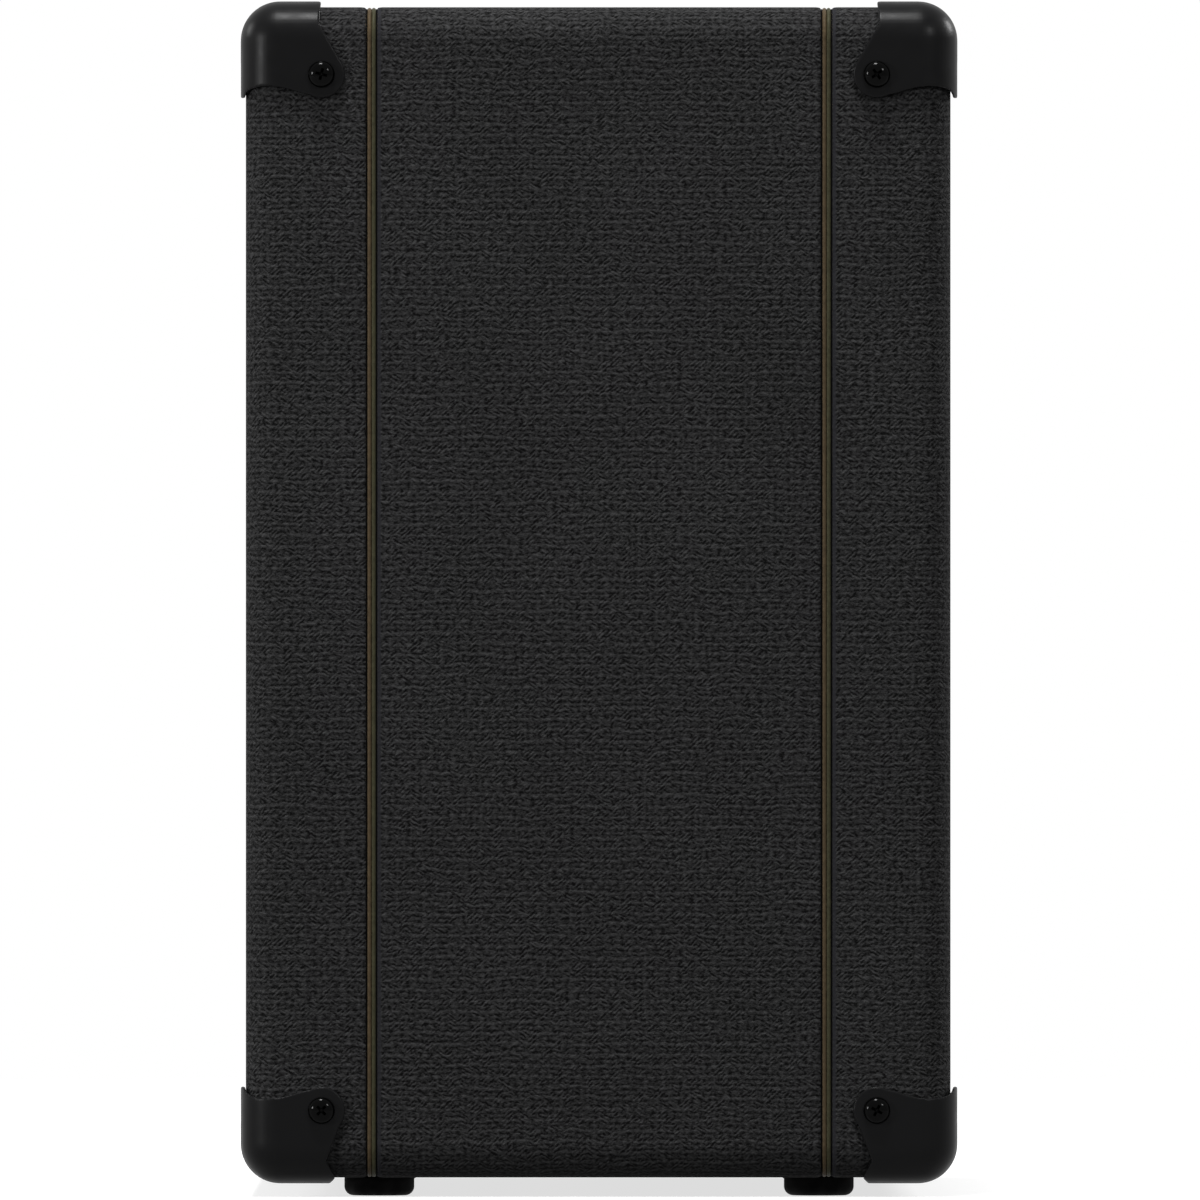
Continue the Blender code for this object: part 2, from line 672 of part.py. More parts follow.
def corner_pattern(name, level, reach, taper, hole, walls):
    """One moulded corner at the right front, at the top (level 1) or the bottom (level -1)."""
    outer, inner = walls
    side = BODY_WIDTH / 2 + PROUD
    face = FRONT - PROUD
    end = BODY_MIDDLE + level * (BODY_HEIGHT / 2 + PROUD)

    lobe = arc((SCREW_IN_DEPTH, SCREW_IN_HEIGHT), LOBE_RADIUS, -38, 118, 7)
    flap = [(-REACH, -REACH), (reach, -REACH), (reach, 0.0), (reach - taper, FLAP_SHOULDER)]
    flap += lobe + list(FLAP_EDGE) + [(0.0, FLAP_DROP), (-REACH, FLAP_DROP)]
    corner = plate(name, [[(face + depth, end - level * drop) for depth, drop in flap]],
                   side - FLAP_ACROSS_TOP - REACH, side + REACH, "X")

    past = reach + FLAP_CUT
    top = [(-REACH, -REACH), (FLAP_ACROSS_TOP, -REACH), (FLAP_ACROSS_TOP, reach - FLAP_CUT),
           (FLAP_ACROSS_TOP - 2 * FLAP_CUT, past), (-REACH, past)]
    from_above = plate(name + "_from_above", [[(side - across, face + depth) for across, depth in top]],
                       end - FLAP_DROP - REACH, end + FLAP_DROP + REACH, "Z")

    shoulder = EDGE_ROUND + PROUD + GAP
    front = [(-REACH, -REACH), (FLAP_ACROSS_TOP, -REACH), (FLAP_ACROSS_TOP, shoulder),
             (FLAP_ACROSS_FRONT, shoulder + FLAP_SHOULDER), (FLAP_ACROSS_FRONT, FLAP_DROP + REACH),
             (-REACH, FLAP_DROP + REACH)]
    front = [(side - across, end - level * drop) for across, drop in front]
    from_front = plate(name + "_from_front", [front], face - REACH, face + past + REACH, "Y")
    return settled(cut(trim(corner, outer, from_above, from_front), inner, hole))


def make_corners(holes):
    walls = (rounded_body("corner_outside", -PROUD), rounded_body("corner_inside", -GAP))
    for wall in walls:
        as_tool(wall)
    levels = (("top", 1, FLAP_REACH_TOP, FLAP_TAPER_TOP), ("bottom", -1, FLAP_REACH_BOTTOM, FLAP_TAPER_BOTTOM))
    for level_name, level, reach, taper in levels:
        pattern = corner_pattern(f"corner_pattern_{level_name}", level, reach, taper, holes, walls)
        for edge, across_depth in (("front", ()), ("rear", (1,))):
            for side, across_width in (("right", ()), ("left", (0,))):
                name = f"corner_{edge}_{side}_{level_name}"
                dress(mirrored(pattern, name, across_depth + across_width), "corner plastic")
        bpy.data.objects.remove(pattern)


def make_corner_screws():
    profile = dome(SCREW_HEAD_RADIUS, SCREW_HEAD_HEIGHT, 3)
    profile += [(SCREW_SHANK_RADIUS, 0.0), (SCREW_SHANK_RADIUS, SCREW_SHANK_RADIUS - SCREW_SHANK_LENGTH),
                (0.0, -SCREW_SHANK_LENGTH)]
    for side, sign in (("right", 1), ("left", -1)):
        turn = Matrix.Rotation(sign * math.pi / 2, 4, "Y")
        for place, y, z in screw_places():
            seat = Matrix.Translation((sign * (BODY_WIDTH / 2 + PROUD + GAP), y, z))
            dress(turned(f"screw_{side}_{place}", profile, 8, seat @ turn), "screw")


def make_feet():
    profile = [(0.0, FOOT_HEIGHT), (FOOT_RADIUS - FOOT_DRAFT, FOOT_HEIGHT)]
    profile += arc((FOOT_RADIUS - FOOT_ROUND, FOOT_ROUND), FOOT_ROUND, 0, -90, 3)
    profile += [(FOOT_RECESS_RADIUS, 0.0), (FOOT_RECESS_RADIUS - FOOT_DRAFT, FOOT_RECESS_DEPTH),
                (0.0, FOOT_RECESS_DEPTH)]
    for edge, y in (("front", FRONT + FOOT_INSET_DEPTH), ("rear", REAR - FOOT_INSET_DEPTH)):
        for side, sign in (("right", 1), ("left", -1)):
            x = sign * (BODY_WIDTH / 2 - FOOT_INSET_WIDTH)
            dress(turned(f"foot_{edge}_{side}", profile, 14, Matrix.Translation((x, y, 0.0))), "rubber")


def make_front():
    """Baffle, grille frame with its cloth, and the covered rail above them."""
    baffle_top = RAIL_TOP - GAP
    baffle = rectangle(INNER_WIDTH - 2 * GAP, baffle_top - INNER_BOTTOM - GAP,
                       (0.0, (baffle_top + INNER_BOTTOM + GAP) / 2))
    hole = circle(SPEAKER_HOLE_RADIUS, (0.0, SPEAKER_HEIGHT), 40)
    dress(plate("baffle_board", [baffle, hole], BAFFLE_FRONT, BAFFLE_BACK, "Y"), "wood")

    cloth_side = INNER_WIDTH / 2 - SKIN - GAP
    cloth_bottom = INNER_BOTTOM + SKIN + GAP
    cloth_top = RAIL_BOTTOM - GAP
    middle = (0.0, (cloth_bottom + cloth_top) / 2)
    cloth = rectangle(2 * cloth_side, cloth_top - cloth_bottom, middle)
    dress(plate("grille_cloth", [cloth], CLOTH_FRONT, CLOTH_FRONT + CLOTH, "Y"), "cloth")

    wrap = 2 * (CLOTH + GAP)
    width = 2 * cloth_side - wrap
    height = cloth_top - cloth_bottom - wrap
    frame = [rectangle(width, height, middle), rectangle(width - 2 * FRAME_BAR, height - 2 * FRAME_BAR, middle)]
    dress(plate("grille_frame", frame, FRAME_FRONT, FRAME_FRONT + FRAME_DEPTH, "Y"), "wood")

    rail_front = FRONT + RAIL_RECESS
    rail_back = BAFFLE_FRONT - GAP
    rail = box("front_rail", (2 * cloth_side, rail_back - rail_front, RAIL_HEIGHT),
               (0.0, (rail_front + rail_back) / 2, RAIL_TOP - RAIL_HEIGHT / 2))
    edges = rail.modifiers.new("round", "BEVEL")
    edges.width = RAIL_ROUND
    edges.segments = 2
    dress(rail, "vinyl")


def knob_place(index):
    return (index - (len(KNOBS) - 1) / 2) * KNOB_PITCH


def rocker_room():
    """Half the width and half the height that the rocker needs inside its bezel."""
    return ROCKER_WIDTH / 2 + GAP, math.hypot(ROCKER_HEIGHT / 2, ROCKER_RIDGE) + GAP


def control_holes():
    """Outlines of the holes that the controls need, the same in the panel and the chassis."""
    holes = [circle(BUSHING_RADIUS + GAP, (knob_place(index), CONTROL_HEIGHT), 12)
             for index in range(len(KNOBS))]
    holes.append(circle(BUTTON_RADIUS + GAP, (BUTTON_PLACE, CONTROL_HEIGHT), 12))
    holes.append(circle(LAMP_RADIUS + GAP, (LAMP_PLACE, CONTROL_HEIGHT), 12))
    holes.append(circle(JACK_BUSHING_RADIUS + GAP, (JACK_PLACE, CONTROL_HEIGHT), 12))
    across, up = rocker_room()
    reach = BEZEL_WALL + GAP
    holes.append(rectangle(2 * (across + reach), 2 * (up + reach), (ROCKER_PLACE, CONTROL_HEIGHT)))
    return holes


def make_panel_and_chassis():
    height = PANEL_HEIGHT - 2 * GAP
    panel = rectangle(INNER_WIDTH - 2 * GAP, height, (0.0, RAIL_TOP + PANEL_HEIGHT / 2))
    dress(plate("control_panel", [panel] + control_holes(), PANEL_FRONT, PANEL_BACK, "Y"), "panel")

    depth = CHASSIS_REAR - CHASSIS_FRONT
    tray = box("chassis_tray", (INNER_WIDTH - 2 * GAP, depth, CHASSIS_HEIGHT),
               (0.0, CHASSIS_FRONT + depth / 2, CHASSIS_BOTTOM + CHASSIS_HEIGHT / 2))
    sheet = bmesh.new()
    sheet.from_mesh(tray.data)
    bmesh.ops.delete(sheet, geom=[face for face in sheet.faces if face.normal.z > 0.5], context="FACES")
    sheet.to_mesh(tray.data)
    sheet.free()
    walls = tray.modifiers.new("walls", "SOLIDIFY")
    walls.thickness = CHASSIS_SHEET
    walls.offset = -1.0
    walls.use_even_offset = True
    front_holes = plate("chassis_front_holes", control_holes(), CHASSIS_FRONT - GAP,
                        CHASSIS_INSIDE + GAP, "Y")
    inlet_hole = plate("chassis_inlet_hole", [inlet_outline(INLET_WALL + GAP)],
                       CHASSIS_REAR - 2 * CHASSIS_SHEET, CHASSIS_REAR + GAP, "Y")
    dress(cut(tray, front_holes, inlet_hole), "zinc steel")


def on_panel(x):
    """Stands a control on the panel's face, its own Z axis out towards the player."""
    return Matrix.Translation((x, PANEL_FRONT, CONTROL_HEIGHT)) @ FACE_FRONT


def make_circuit():
    """The circuit board behind the panel with its potentiometers and the switch for the button."""
    bottom = CHASSIS_FLOOR + BOARD_MARGIN
    top = CHASSIS_TOP - GAP
    board = plate("control_board", [rectangle(BOARD_WIDTH, top - bottom, (0.0, (bottom + top) / 2))],
                  CIRCUIT_FRONT, CIRCUIT_FRONT + BOARD_SHEET, "Y")
    front = PANEL_FRONT - POT_FRONT
    back = PANEL_FRONT - CIRCUIT_FRONT - BOARD_SHEET / 2
    bore = SHAFT_RADIUS + GAP
    bore_end = -SHAFT_LENGTH - GAP
    pot = [(0.0, bore_end), (bore, bore_end), (bore, BUSHING_PROUD), (BUSHING_RADIUS, BUSHING_PROUD),
           (BUSHING_RADIUS, front), (POT_RADIUS, front), (POT_RADIUS, back), (0.0, back)]
    for index, name in enumerate(KNOBS):
        join(board, turned(f"pot_{name}", pot, 10, on_panel(knob_place(index))))

    switch_front = switch_depth()
    stem_end = switch_front + BUTTON_STEM_GRIP
    switch_back = CIRCUIT_FRONT + BOARD_SHEET / 2 - PANEL_FRONT
    switch = box("switch_body", (SWITCH_BODY, switch_back - switch_front, SWITCH_BODY),
                 (BUTTON_PLACE, PANEL_FRONT + (switch_front + switch_back) / 2, CONTROL_HEIGHT))
    start = (BUTTON_PLACE, PANEL_FRONT + switch_front - REACH, CONTROL_HEIGHT)
    end = (BUTTON_PLACE, PANEL_FRONT + stem_end + BUTTON_TRAVEL + GAP, CONTROL_HEIGHT)
    join(board, switch)
    cut(board, rods("switch_bore", [(start, end)], BUTTON_STEM_RADIUS + GAP, 10))
    dress(board, "circuit")


def switch_depth():
    """How far behind the panel's face the button's switch starts, clear of the pressed button."""
    return CHASSIS_INSIDE - PANEL_FRONT + GAP + BUTTON_TRAVEL + GAP


def make_knobs():
    """Fluted knobs on short shafts, each with a pointer groove across its top."""
    base = KNOB_STANDOFF
    top = base + KNOB_HEIGHT
    skirt = base + KNOB_SKIRT_HEIGHT
    shoulder = KNOB_RADIUS - KNOB_DRAFT
    profile = [(0.0, top), (shoulder - KNOB_ROUND, top), (shoulder, top - KNOB_ROUND),
               (KNOB_RADIUS, skirt), (KNOB_SKIRT_RADIUS, base + KNOB_ROUND), (KNOB_SKIRT_RADIUS, base),
               (SHAFT_RADIUS, base), (SHAFT_RADIUS, -SHAFT_LENGTH), (0.0, -SHAFT_LENGTH)]
    for index, name in enumerate(KNOBS):
        place = on_panel(knob_place(index))
        knob = turned(f"knob_{name}", profile, 2 * KNOB_FLUTES, place)
        for vertex in knob.data.vertices:
            radius = math.hypot(vertex.co.x, vertex.co.y)
            if vertex.co.z > skirt - GAP and radius > SHAFT_RADIUS:
                angle = math.atan2(vertex.co.y, vertex.co.x)
                inwards = KNOB_FLUTE * (1 - math.cos(KNOB_FLUTES * angle)) / 2
                vertex.co.xy *= 1 - inwards / radius
        middle = (0.0, KNOB_RADIUS / 2 + POINTER_WIDTH, top)
        groove = box(f"pointer_{name}", (POINTER_WIDTH, KNOB_RADIUS, 2 * POINTER_DEPTH), middle)
        groove.matrix_world = place @ Matrix.Translation(middle)
        dress(cut(knob, groove), "knob")


def make_button():
    wide_end = -(CHASSIS_INSIDE - PANEL_FRONT + GAP)
    stem_end = -(switch_depth() + BUTTON_STEM_GRIP)
    profile = [(0.0, BUTTON_PROUD), (BUTTON_RADIUS - BUTTON_ROUND, BUTTON_PROUD),
               (BUTTON_RADIUS, BUTTON_PROUD - BUTTON_ROUND), (BUTTON_RADIUS, wide_end),
               (BUTTON_STEM_RADIUS, wide_end), (BUTTON_STEM_RADIUS, stem_end), (0.0, stem_end)]
    dress(turned("channel_button", profile, 12, on_panel(BUTTON_PLACE)), "knob")


def make_power_switch():
    """A rocker on two pins in a bezel; it rests with its lower half pressed in."""
    pivot = Vector((ROCKER_PLACE, PANEL_FRONT + ROCKER_SET_BACK, CONTROL_HEIGHT))
    half = ROCKER_HEIGHT / 2
    tilt = math.radians(ROCKER_TILT)
    tip = half * math.tan(tilt) - ROCKER_RIDGE
    outline = [(-ROCKER_RIDGE, 0.0), (tip, -half), (ROCKER_DEEP, BEZEL_WALL - half),
               (ROCKER_DEEP, half - BEZEL_WALL), (tip, half)]
    rocker = plate("power_rocker", [outline], -ROCKER_WIDTH / 2, ROCKER_WIDTH / 2, "X")
    pin_end = ROCKER_WIDTH / 2 + ROCKER_PIN_LENGTH
    pin = rods("rocker_pin", [((-pin_end, 0.0, 0.0), (pin_end, 0.0, 0.0))], ROCKER_PIN_RADIUS, 10)
    placed = Matrix.Translation(pivot) @ Matrix.Rotation(tilt, 4, "X")
    pin.matrix_world = placed
    rocker.matrix_world = placed @ rocker.matrix_world
    dress(join(rocker, pin), "knob")

    across, up = rocker_room()
    front = PANEL_FRONT - GAP
    back = PANEL_FRONT + BEZEL_DEPTH
    centre = (ROCKER_PLACE, CONTROL_HEIGHT)
    rim = BEZEL_WALL + BEZEL_FLANGE
    flange = rounded_rectangle(2 * (across + rim), 2 * (up + rim), BEZEL_ROUND, centre, 2)
    bezel = plate("rocker_bezel", [flange], front - BEZEL_FLANGE_SHEET, front, "Y")
    body = box("bezel_body", (2 * (across + BEZEL_WALL), back - front + GAP, 2 * (up + BEZEL_WALL)),
               (ROCKER_PLACE, (back + front - GAP) / 2, CONTROL_HEIGHT))
    swing = ROCKER_DEEP * math.cos(tilt) + half * math.sin(tilt) + GAP
    room_front = front - BEZEL_FLANGE_SHEET - REACH
    room = box("bezel_room", (2 * across, pivot.y + swing - room_front, 2 * up),
               (ROCKER_PLACE, (pivot.y + swing + room_front) / 2, CONTROL_HEIGHT))
    bore_end = pin_end + GAP
    bores = rods("bezel_bores", [(pivot - AXIS["X"] * bore_end, pivot + AXIS["X"] * bore_end)],
                 ROCKER_PIN_RADIUS + GAP, 10)
    dress(cut(join(bezel, body), room, bores), "knob")


def make_lamp():
    lens = dome(LAMP_RADIUS, LAMP_PROUD - LAMP_FLANGE_HEIGHT, 3)
    profile = [(radius, height + LAMP_FLANGE_HEIGHT) for radius, height in lens]
    profile += [(LAMP_FLANGE_RADIUS, LAMP_FLANGE_HEIGHT), (LAMP_FLANGE_RADIUS, GAP), (LAMP_RADIUS, GAP),
                (LAMP_RADIUS, -LAMP_LENGTH), (0.0, -LAMP_LENGTH)]
    dress(turned("pilot_lamp", profile, 12, on_panel(LAMP_PLACE)), "lens")


def make_jack():
    """Input socket: a hexagonal nut in front, a bushing through the panel and a body behind."""
    nut_back = PANEL_FRONT - GAP
    nut_front = nut_back - JACK_NUT
    back = PANEL_FRONT + JACK_DEPTH
    body_front = CHASSIS_INSIDE + GAP
    jack = box("input_jack", (JACK_BODY, back - body_front, JACK_BODY),
               (JACK_PLACE, (back + body_front) / 2, CONTROL_HEIGHT))
    centre = Vector((JACK_PLACE, 0.0, CONTROL_HEIGHT))

    def on_axis(start, end):
        return [(centre + AXIS["Y"] * start, centre + AXIS["Y"] * end)]

    thread = on_axis(nut_front - JACK_THREAD_PROUD, body_front + GAP)
    bushing = rods("jack_bushing", thread, JACK_BUSHING_RADIUS, 12)
    nut = rods("jack_nut", on_axis(nut_front, nut_back), JACK_NUT_RADIUS, 6)
    bore = rods("jack_bore", on_axis(nut_front - REACH, back - JACK_END_WALL), JACK_BORE_RADIUS, 12)
    dress(cut(join(jack, bushing, nut), bore), "knob")


def make_transformer():
    x, y = TRANSFORMER_PLACE
    floor = CHASSIS_FLOOR + GAP
    width, depth, height = TRANSFORMER_CORE
    core = box("transformer", TRANSFORMER_CORE, (x, y, floor + height / 2))
    winding = box("transformer_winding", TRANSFORMER_WINDING, (x, y, floor + height / 2))
    rounding = winding.modifiers.new("round", "BEVEL")
    rounding.width = TRANSFORMER_WINDING_ROUND
    rounding.segments = 2
    strap = box("transformer_strap", (width + 2 * TRANSFORMER_LUG, depth / 2, TRANSFORMER_STRAP),
                (x, y, floor + TRANSFORMER_STRAP / 2))
    dress(join(core, winding, strap), "core")


def make_heatsink():
    """An extruded comb of fins on a thick base."""
    x, y = SINK_PLACE
    floor = CHASSIS_FLOOR + GAP
    top = floor + SINK_HEIGHT
    pitch = (SINK_WIDTH - SINK_FIN) / (SINK_FINS - 1)
    outline = [(x + SINK_WIDTH / 2, floor), (x + SINK_WIDTH / 2, top)]
    for fin in range(SINK_FINS):
        right = x + SINK_WIDTH / 2 - fin * pitch
        left = right - SINK_FIN
        if fin:
            outline += [(right, floor + SINK_BASE), (right, top)]
        outline.append((left, top))
        if fin < SINK_FINS - 1:
            outline.append((left, floor + SINK_BASE))
    outline.append((x - SINK_WIDTH / 2, floor))
    dress(plate("heatsink", [outline], y - SINK_LENGTH / 2, y + SINK_LENGTH / 2, "Y"), "aluminium")


def inlet_height():
    return CHASSIS_FLOOR + (CHASSIS_TOP - CHASSIS_FLOOR) / 2


def inlet_outline(growth):
    """The mains inlet's mouth, its two upper corners cut off, grown by a wall."""
    half_width = INLET_WIDTH / 2 + growth
    half_height = INLET_HEIGHT / 2 + growth
    x, z = INLET_PLACE, inlet_height()
    slant = INLET_CHAMFER
    return [(x - half_width, z - half_height), (x + half_width, z - half_height),
            (x + half_width, z + half_height - slant), (x + half_width - slant, z + half_height),
            (x - half_width + slant, z + half_height), (x - half_width, z + half_height - slant)]


def make_mains_inlet():
    front = CHASSIS_REAR + GAP
    back = front + INLET_FLANGE_SHEET
    x, z = INLET_PLACE, inlet_height()
    width = INLET_WIDTH + 2 * INLET_FLANGE
    height = INLET_HEIGHT + 2 * (INLET_WALL + INLET_FLANGE_RIM)
    flange = rounded_rectangle(width, height, INLET_FLANGE_ROUND, (x, z), 2)
    inlet = plate("mains_inlet", [flange], front, back, "Y")
    floor = back - INLET_DEPTH
    body = plate("inlet_body", [inlet_outline(INLET_WALL)], floor - INLET_WALL, front + GAP, "Y")
    room = plate("inlet_room", [inlet_outline(0.0)], floor, back + REACH, "Y")
    cut(join(inlet, body), room)
    thick, long, tall = INLET_BLADE
    for index, (across, up) in enumerate(INLET_BLADE_PLACES):
        middle = floor + (long - GAP) / 2
        join(inlet, box(f"inlet_blade_{index}", (thick, long + GAP, tall), (x + across, middle, z + up)))
    dress(inlet, "knob")


def make_back_panels():
    top = INNER_TOP + REBATE_WIDTH - GAP
    upper = rectangle(BACK_WIDTH, UPPER_BACK_HEIGHT, (0.0, top - UPPER_BACK_HEIGHT / 2))
    window_width = INLET_WIDTH + 2 * (INLET_FLANGE + INLET_WINDOW_MARGIN)
    window_height = INLET_HEIGHT + 2 * (INLET_WALL + INLET_FLANGE_RIM + INLET_WINDOW_MARGIN)
    window = rounded_rectangle(window_width, window_height, INLET_WINDOW_ROUND,
                               (INLET_PLACE, inlet_height()), 3)
    back = BACK_FRONT + BACK_BOARD
    dress(plate("upper_back_panel", [upper, window], BACK_FRONT, back, "Y"), "vinyl")
    bottom = INNER_BOTTOM - REBATE_WIDTH + GAP
    lower = rectangle(BACK_WIDTH, LOWER_BACK_HEIGHT, (0.0, bottom + LOWER_BACK_HEIGHT / 2))
    dress(plate("lower_back_panel", [lower], BACK_FRONT, back, "Y"), "vinyl")


def in_speaker():
    """The speaker's own frame: Z out of the cone towards the listener, zero at the flange's face."""
    return Matrix.Translation((0.0, SPEAKER_FACE, SPEAKER_HEIGHT)) @ FACE_FRONT


def cone_depth(radius):
    along = (CONE_RADIUS - radius) / (CONE_RADIUS - COIL_RADIUS)
    return CONE_EDGE_DEPTH + (CONE_NECK_DEPTH - CONE_EDGE_DEPTH) * along ** 0.9


def waves(outer, inner, depth, height, count, steps):
    """A line of (radius, height) points run inwards in waves that start and end level."""
    return [(outer + (inner - outer) * step / steps,
             height * math.sin(2 * math.pi * count * step / steps) - depth) for step in range(steps + 1)]


def make_basket():
    """The pressed frame: a flange, a ledge for the cone's edge, a windowed bowl and a ledge below."""
    line = [(SPEAKER_RADIUS, 0.0), (RIM_RADIUS, 0.0), (RIM_RADIUS, -RIM_DEPTH),
            (RIM_LEDGE_RADIUS, -RIM_DEPTH), (SPIDER_RADIUS + GAP, -SPIDER_DEPTH),
            (SPIDER_LEDGE_RADIUS, -SPIDER_DEPTH), (BASKET_FLOOR_RADIUS, -BASKET_DEPTH),
            (BASKET_BORE_RADIUS, -BASKET_DEPTH)]
    basket = turned("speaker_basket", thickened(line, BASKET_SHEET), 24, in_speaker(), closed=True)
    windows = []
    for index in range(BASKET_WINDOWS):
        middle = 360 / BASKET_WINDOWS * (index + 0.5)
        start, end = middle - WINDOW_SPAN / 2, middle + WINDOW_SPAN / 2
        centre = (0.0, SPEAKER_HEIGHT)
        windows.append(arc(centre, WINDOW_OUTER_RADIUS, start, end, 2)
                       + arc(centre, WINDOW_INNER_RADIUS, end, start, 2))
    cutter = plate("basket_windows", windows, SPEAKER_FACE, SPEAKER_FACE + SPIDER_DEPTH, "Y")
    dress(cut(basket, cutter), "dark steel")


def make_cone():
    steps = 4
    neck = COIL_RADIUS - COIL_SHEET / 2
    radii = [CONE_RADIUS + (neck - CONE_RADIUS) * step / steps for step in range(steps + 1)]
    line = [(radius, -cone_depth(max(radius, COIL_RADIUS))) for radius in radii]
    cone = turned("speaker_cone", dropped(line, CONE_SHEET), 24, in_speaker(), closed=True)
    top = CONE_SHEET - CONE_NECK_DEPTH
    coil_bore = COIL_RADIUS - COIL_SHEET
    former = [(COIL_RADIUS, top), (COIL_RADIUS, -COIL_END_DEPTH), (coil_bore, -COIL_END_DEPTH), (coil_bore, top)]
    join(cone, turned("voice_coil", former, 24, in_speaker(), closed=True))
    dress(cone, "paper")

    rim_depth = cone_depth(DUST_CAP_RADIUS) - GAP - SOFT_SHEET
    outer = [(radius, height - rim_depth) for radius, height in dome(DUST_CAP_RADIUS, DUST_CAP_RISE, 4)]
    inner = [(radius * (1 - SOFT_SHEET / DUST_CAP_RADIUS), height - SOFT_SHEET) for radius, height in outer]
    dress(turned("dust_cap", outer + list(reversed(inner)), 16, in_speaker()), "paper")


def make_suspension():
    """The rippled edge that holds the cone's rim and the spider that centres its coil."""
    surround_depth = RIM_DEPTH - GAP - SOFT_SHEET
    line = [(RIM_RADIUS - SOFT_SHEET, -surround_depth)]
    line += waves(RIM_LEDGE_RADIUS, CONE_RADIUS + GAP, surround_depth, SURROUND_WAVE, 1, 4)
    surround = turned("speaker_surround", dropped(line, SOFT_SHEET), 24, in_speaker(), closed=True)
    dress(surround, "paper")
    spider_depth = SPIDER_DEPTH - GAP - SOFT_SHEET
    line = [(SPIDER_RADIUS - GAP, -spider_depth)]
    line += waves(SPIDER_LEDGE_RADIUS, COIL_RADIUS + 3 * GAP, spider_depth, SPIDER_WAVE, 1.5, 6)
    spider = turned("speaker_spider", dropped(line, SOFT_SHEET), 16, in_speaker(), closed=True)
    dress(spider, "spider")


def make_magnet():
    front = -(BASKET_DEPTH + BASKET_SHEET + GAP)
    slot_end = front - COIL_SLOT_DEPTH
    pole = COIL_RADIUS - COIL_SHEET - COIL_SLOT
    ring = COIL_RADIUS + COIL_SLOT
    first = front - PLATE
    second = first - MAGNET
    back = second - PLATE
    profile = [(0.0, front), (pole, front), (pole, slot_end), (ring, slot_end), (ring, front),
               (PLATE_RADIUS, front), (PLATE_RADIUS, first), (MAGNET_RADIUS, first), (MAGNET_RADIUS, second),
               (PLATE_RADIUS, second), (PLATE_RADIUS - PLATE / 4, back), (0.0, back)]
    dress(turned("speaker_magnet", profile, 24, in_speaker()), "core")


def make_handle():
    """A dish let into the top, and in it a wire bail with a moulded grip that swings up."""
    floor = DISH_TOP - DISH_DEPTH
    dish = plate("handle_dish", [dish_outline(0.0)], floor, DISH_TOP, "Z")
    flange = plate("dish_flange", [flange_outline(0.0)], DISH_TOP - DISH_WALL, DISH_TOP, "Z")
    room = plate("dish_room", [dish_outline(-DISH_WALL)], floor + DISH_WALL, DISH_TOP + REACH, "Z")
    cut(join(dish, flange), room)
    wall = DISH_LENGTH / 2 - DISH_WALL
    boss_end = wall - BOSS_LENGTH
    bore_end = DISH_LENGTH / 2 - DISH_WALL / 2
    bosses = [(BAIL_PIVOT + AXIS["X"] * side * boss_end, BAIL_PIVOT + AXIS["X"] * side * (wall + GAP))
              for side in (-1, 1)]
    bores = [(BAIL_PIVOT + AXIS["X"] * side * (boss_end - REACH), BAIL_PIVOT + AXIS["X"] * side * bore_end)
             for side in (-1, 1)]
    join(dish, rods("dish_bosses", bosses, BOSS_RADIUS, 10))
    cut(dish, rods("dish_bores", bores, BAIL_WIRE_RADIUS + 2 * GAP, 8))
    rest_top = BAIL_PIVOT.z - BAIL_WIRE_RADIUS - GAP
    rest_height = rest_top - floor - DISH_WALL / 2
    rest_place = (GRIP_LENGTH / 2 + boss_end - BAIL_BEND) / 2 - REST_WIDTH / 2
    for side, sign in (("right", 1), ("left", -1)):
        middle = (sign * rest_place, BAIL_PIVOT.y - BAIL_ARM, rest_top - rest_height / 2)
        join(dish, box(f"bail_rest_{side}", (REST_WIDTH, REST_DEPTH, rest_height), middle))
    dress(dish, "corner plastic")

    arm = boss_end - GAP - BAIL_BEND
    right = [(bore_end - GAP, 0.0)]
    right += arc((arm + BAIL_BEND, -BAIL_BEND), BAIL_BEND, 90, 180, 3)
    right += arc((arm - BAIL_BEND, BAIL_BEND - BAIL_ARM), BAIL_BEND, 0, -90, 3)
    points = right + [(-across, back) for across, back in reversed(right)]
    wire = bpy.data.curves.new("handle_bail", "CURVE")
    wire.dimensions = "3D"
    wire.bevel_depth = BAIL_WIRE_RADIUS
    wire.bevel_resolution = 1
    wire.use_fill_caps = True
    spline = wire.splines.new("POLY")
    spline.points.add(len(points) - 1)
    for point, (across, back) in zip(spline.points, points):
        point.co = (across, back, 0.0, 1.0)
    bail = settled(new_object("handle_bail", wire, Matrix.Translation(BAIL_PIVOT)))
    half = GRIP_LENGTH / 2
    grip = [(0.0, half), (GRIP_END_RADIUS, half), (GRIP_RADIUS, half - GRIP_RADIUS),
            (GRIP_RADIUS - GRIP_WAIST, 0.0), (GRIP_RADIUS, GRIP_RADIUS - half), (GRIP_END_RADIUS, -half),
            (0.0, -half)]
    across = Matrix.Translation(BAIL_PIVOT - AXIS["Y"] * BAIL_ARM) @ Matrix.Rotation(math.pi / 2, 4, "Y")
    dress(join(bail, turned("bail_grip", grip, 12, across)), "corner plastic")


def main():
    holes = screw_holes()
    make_cabinet(holes)
    make_vinyl(holes)
    make_piping()
    make_corners(holes)
    make_corner_screws()
    make_feet()
    make_front()
    make_panel_and_chassis()
    make_circuit()
    make_knobs()
    make_button()
    make_power_switch()
    make_lamp()
    make_jack()
    make_transformer()
    make_heatsink()
    make_mains_inlet()
    make_back_panels()
    make_basket()
    make_cone()
    make_suspension()
    make_magnet()
    make_handle()


main()
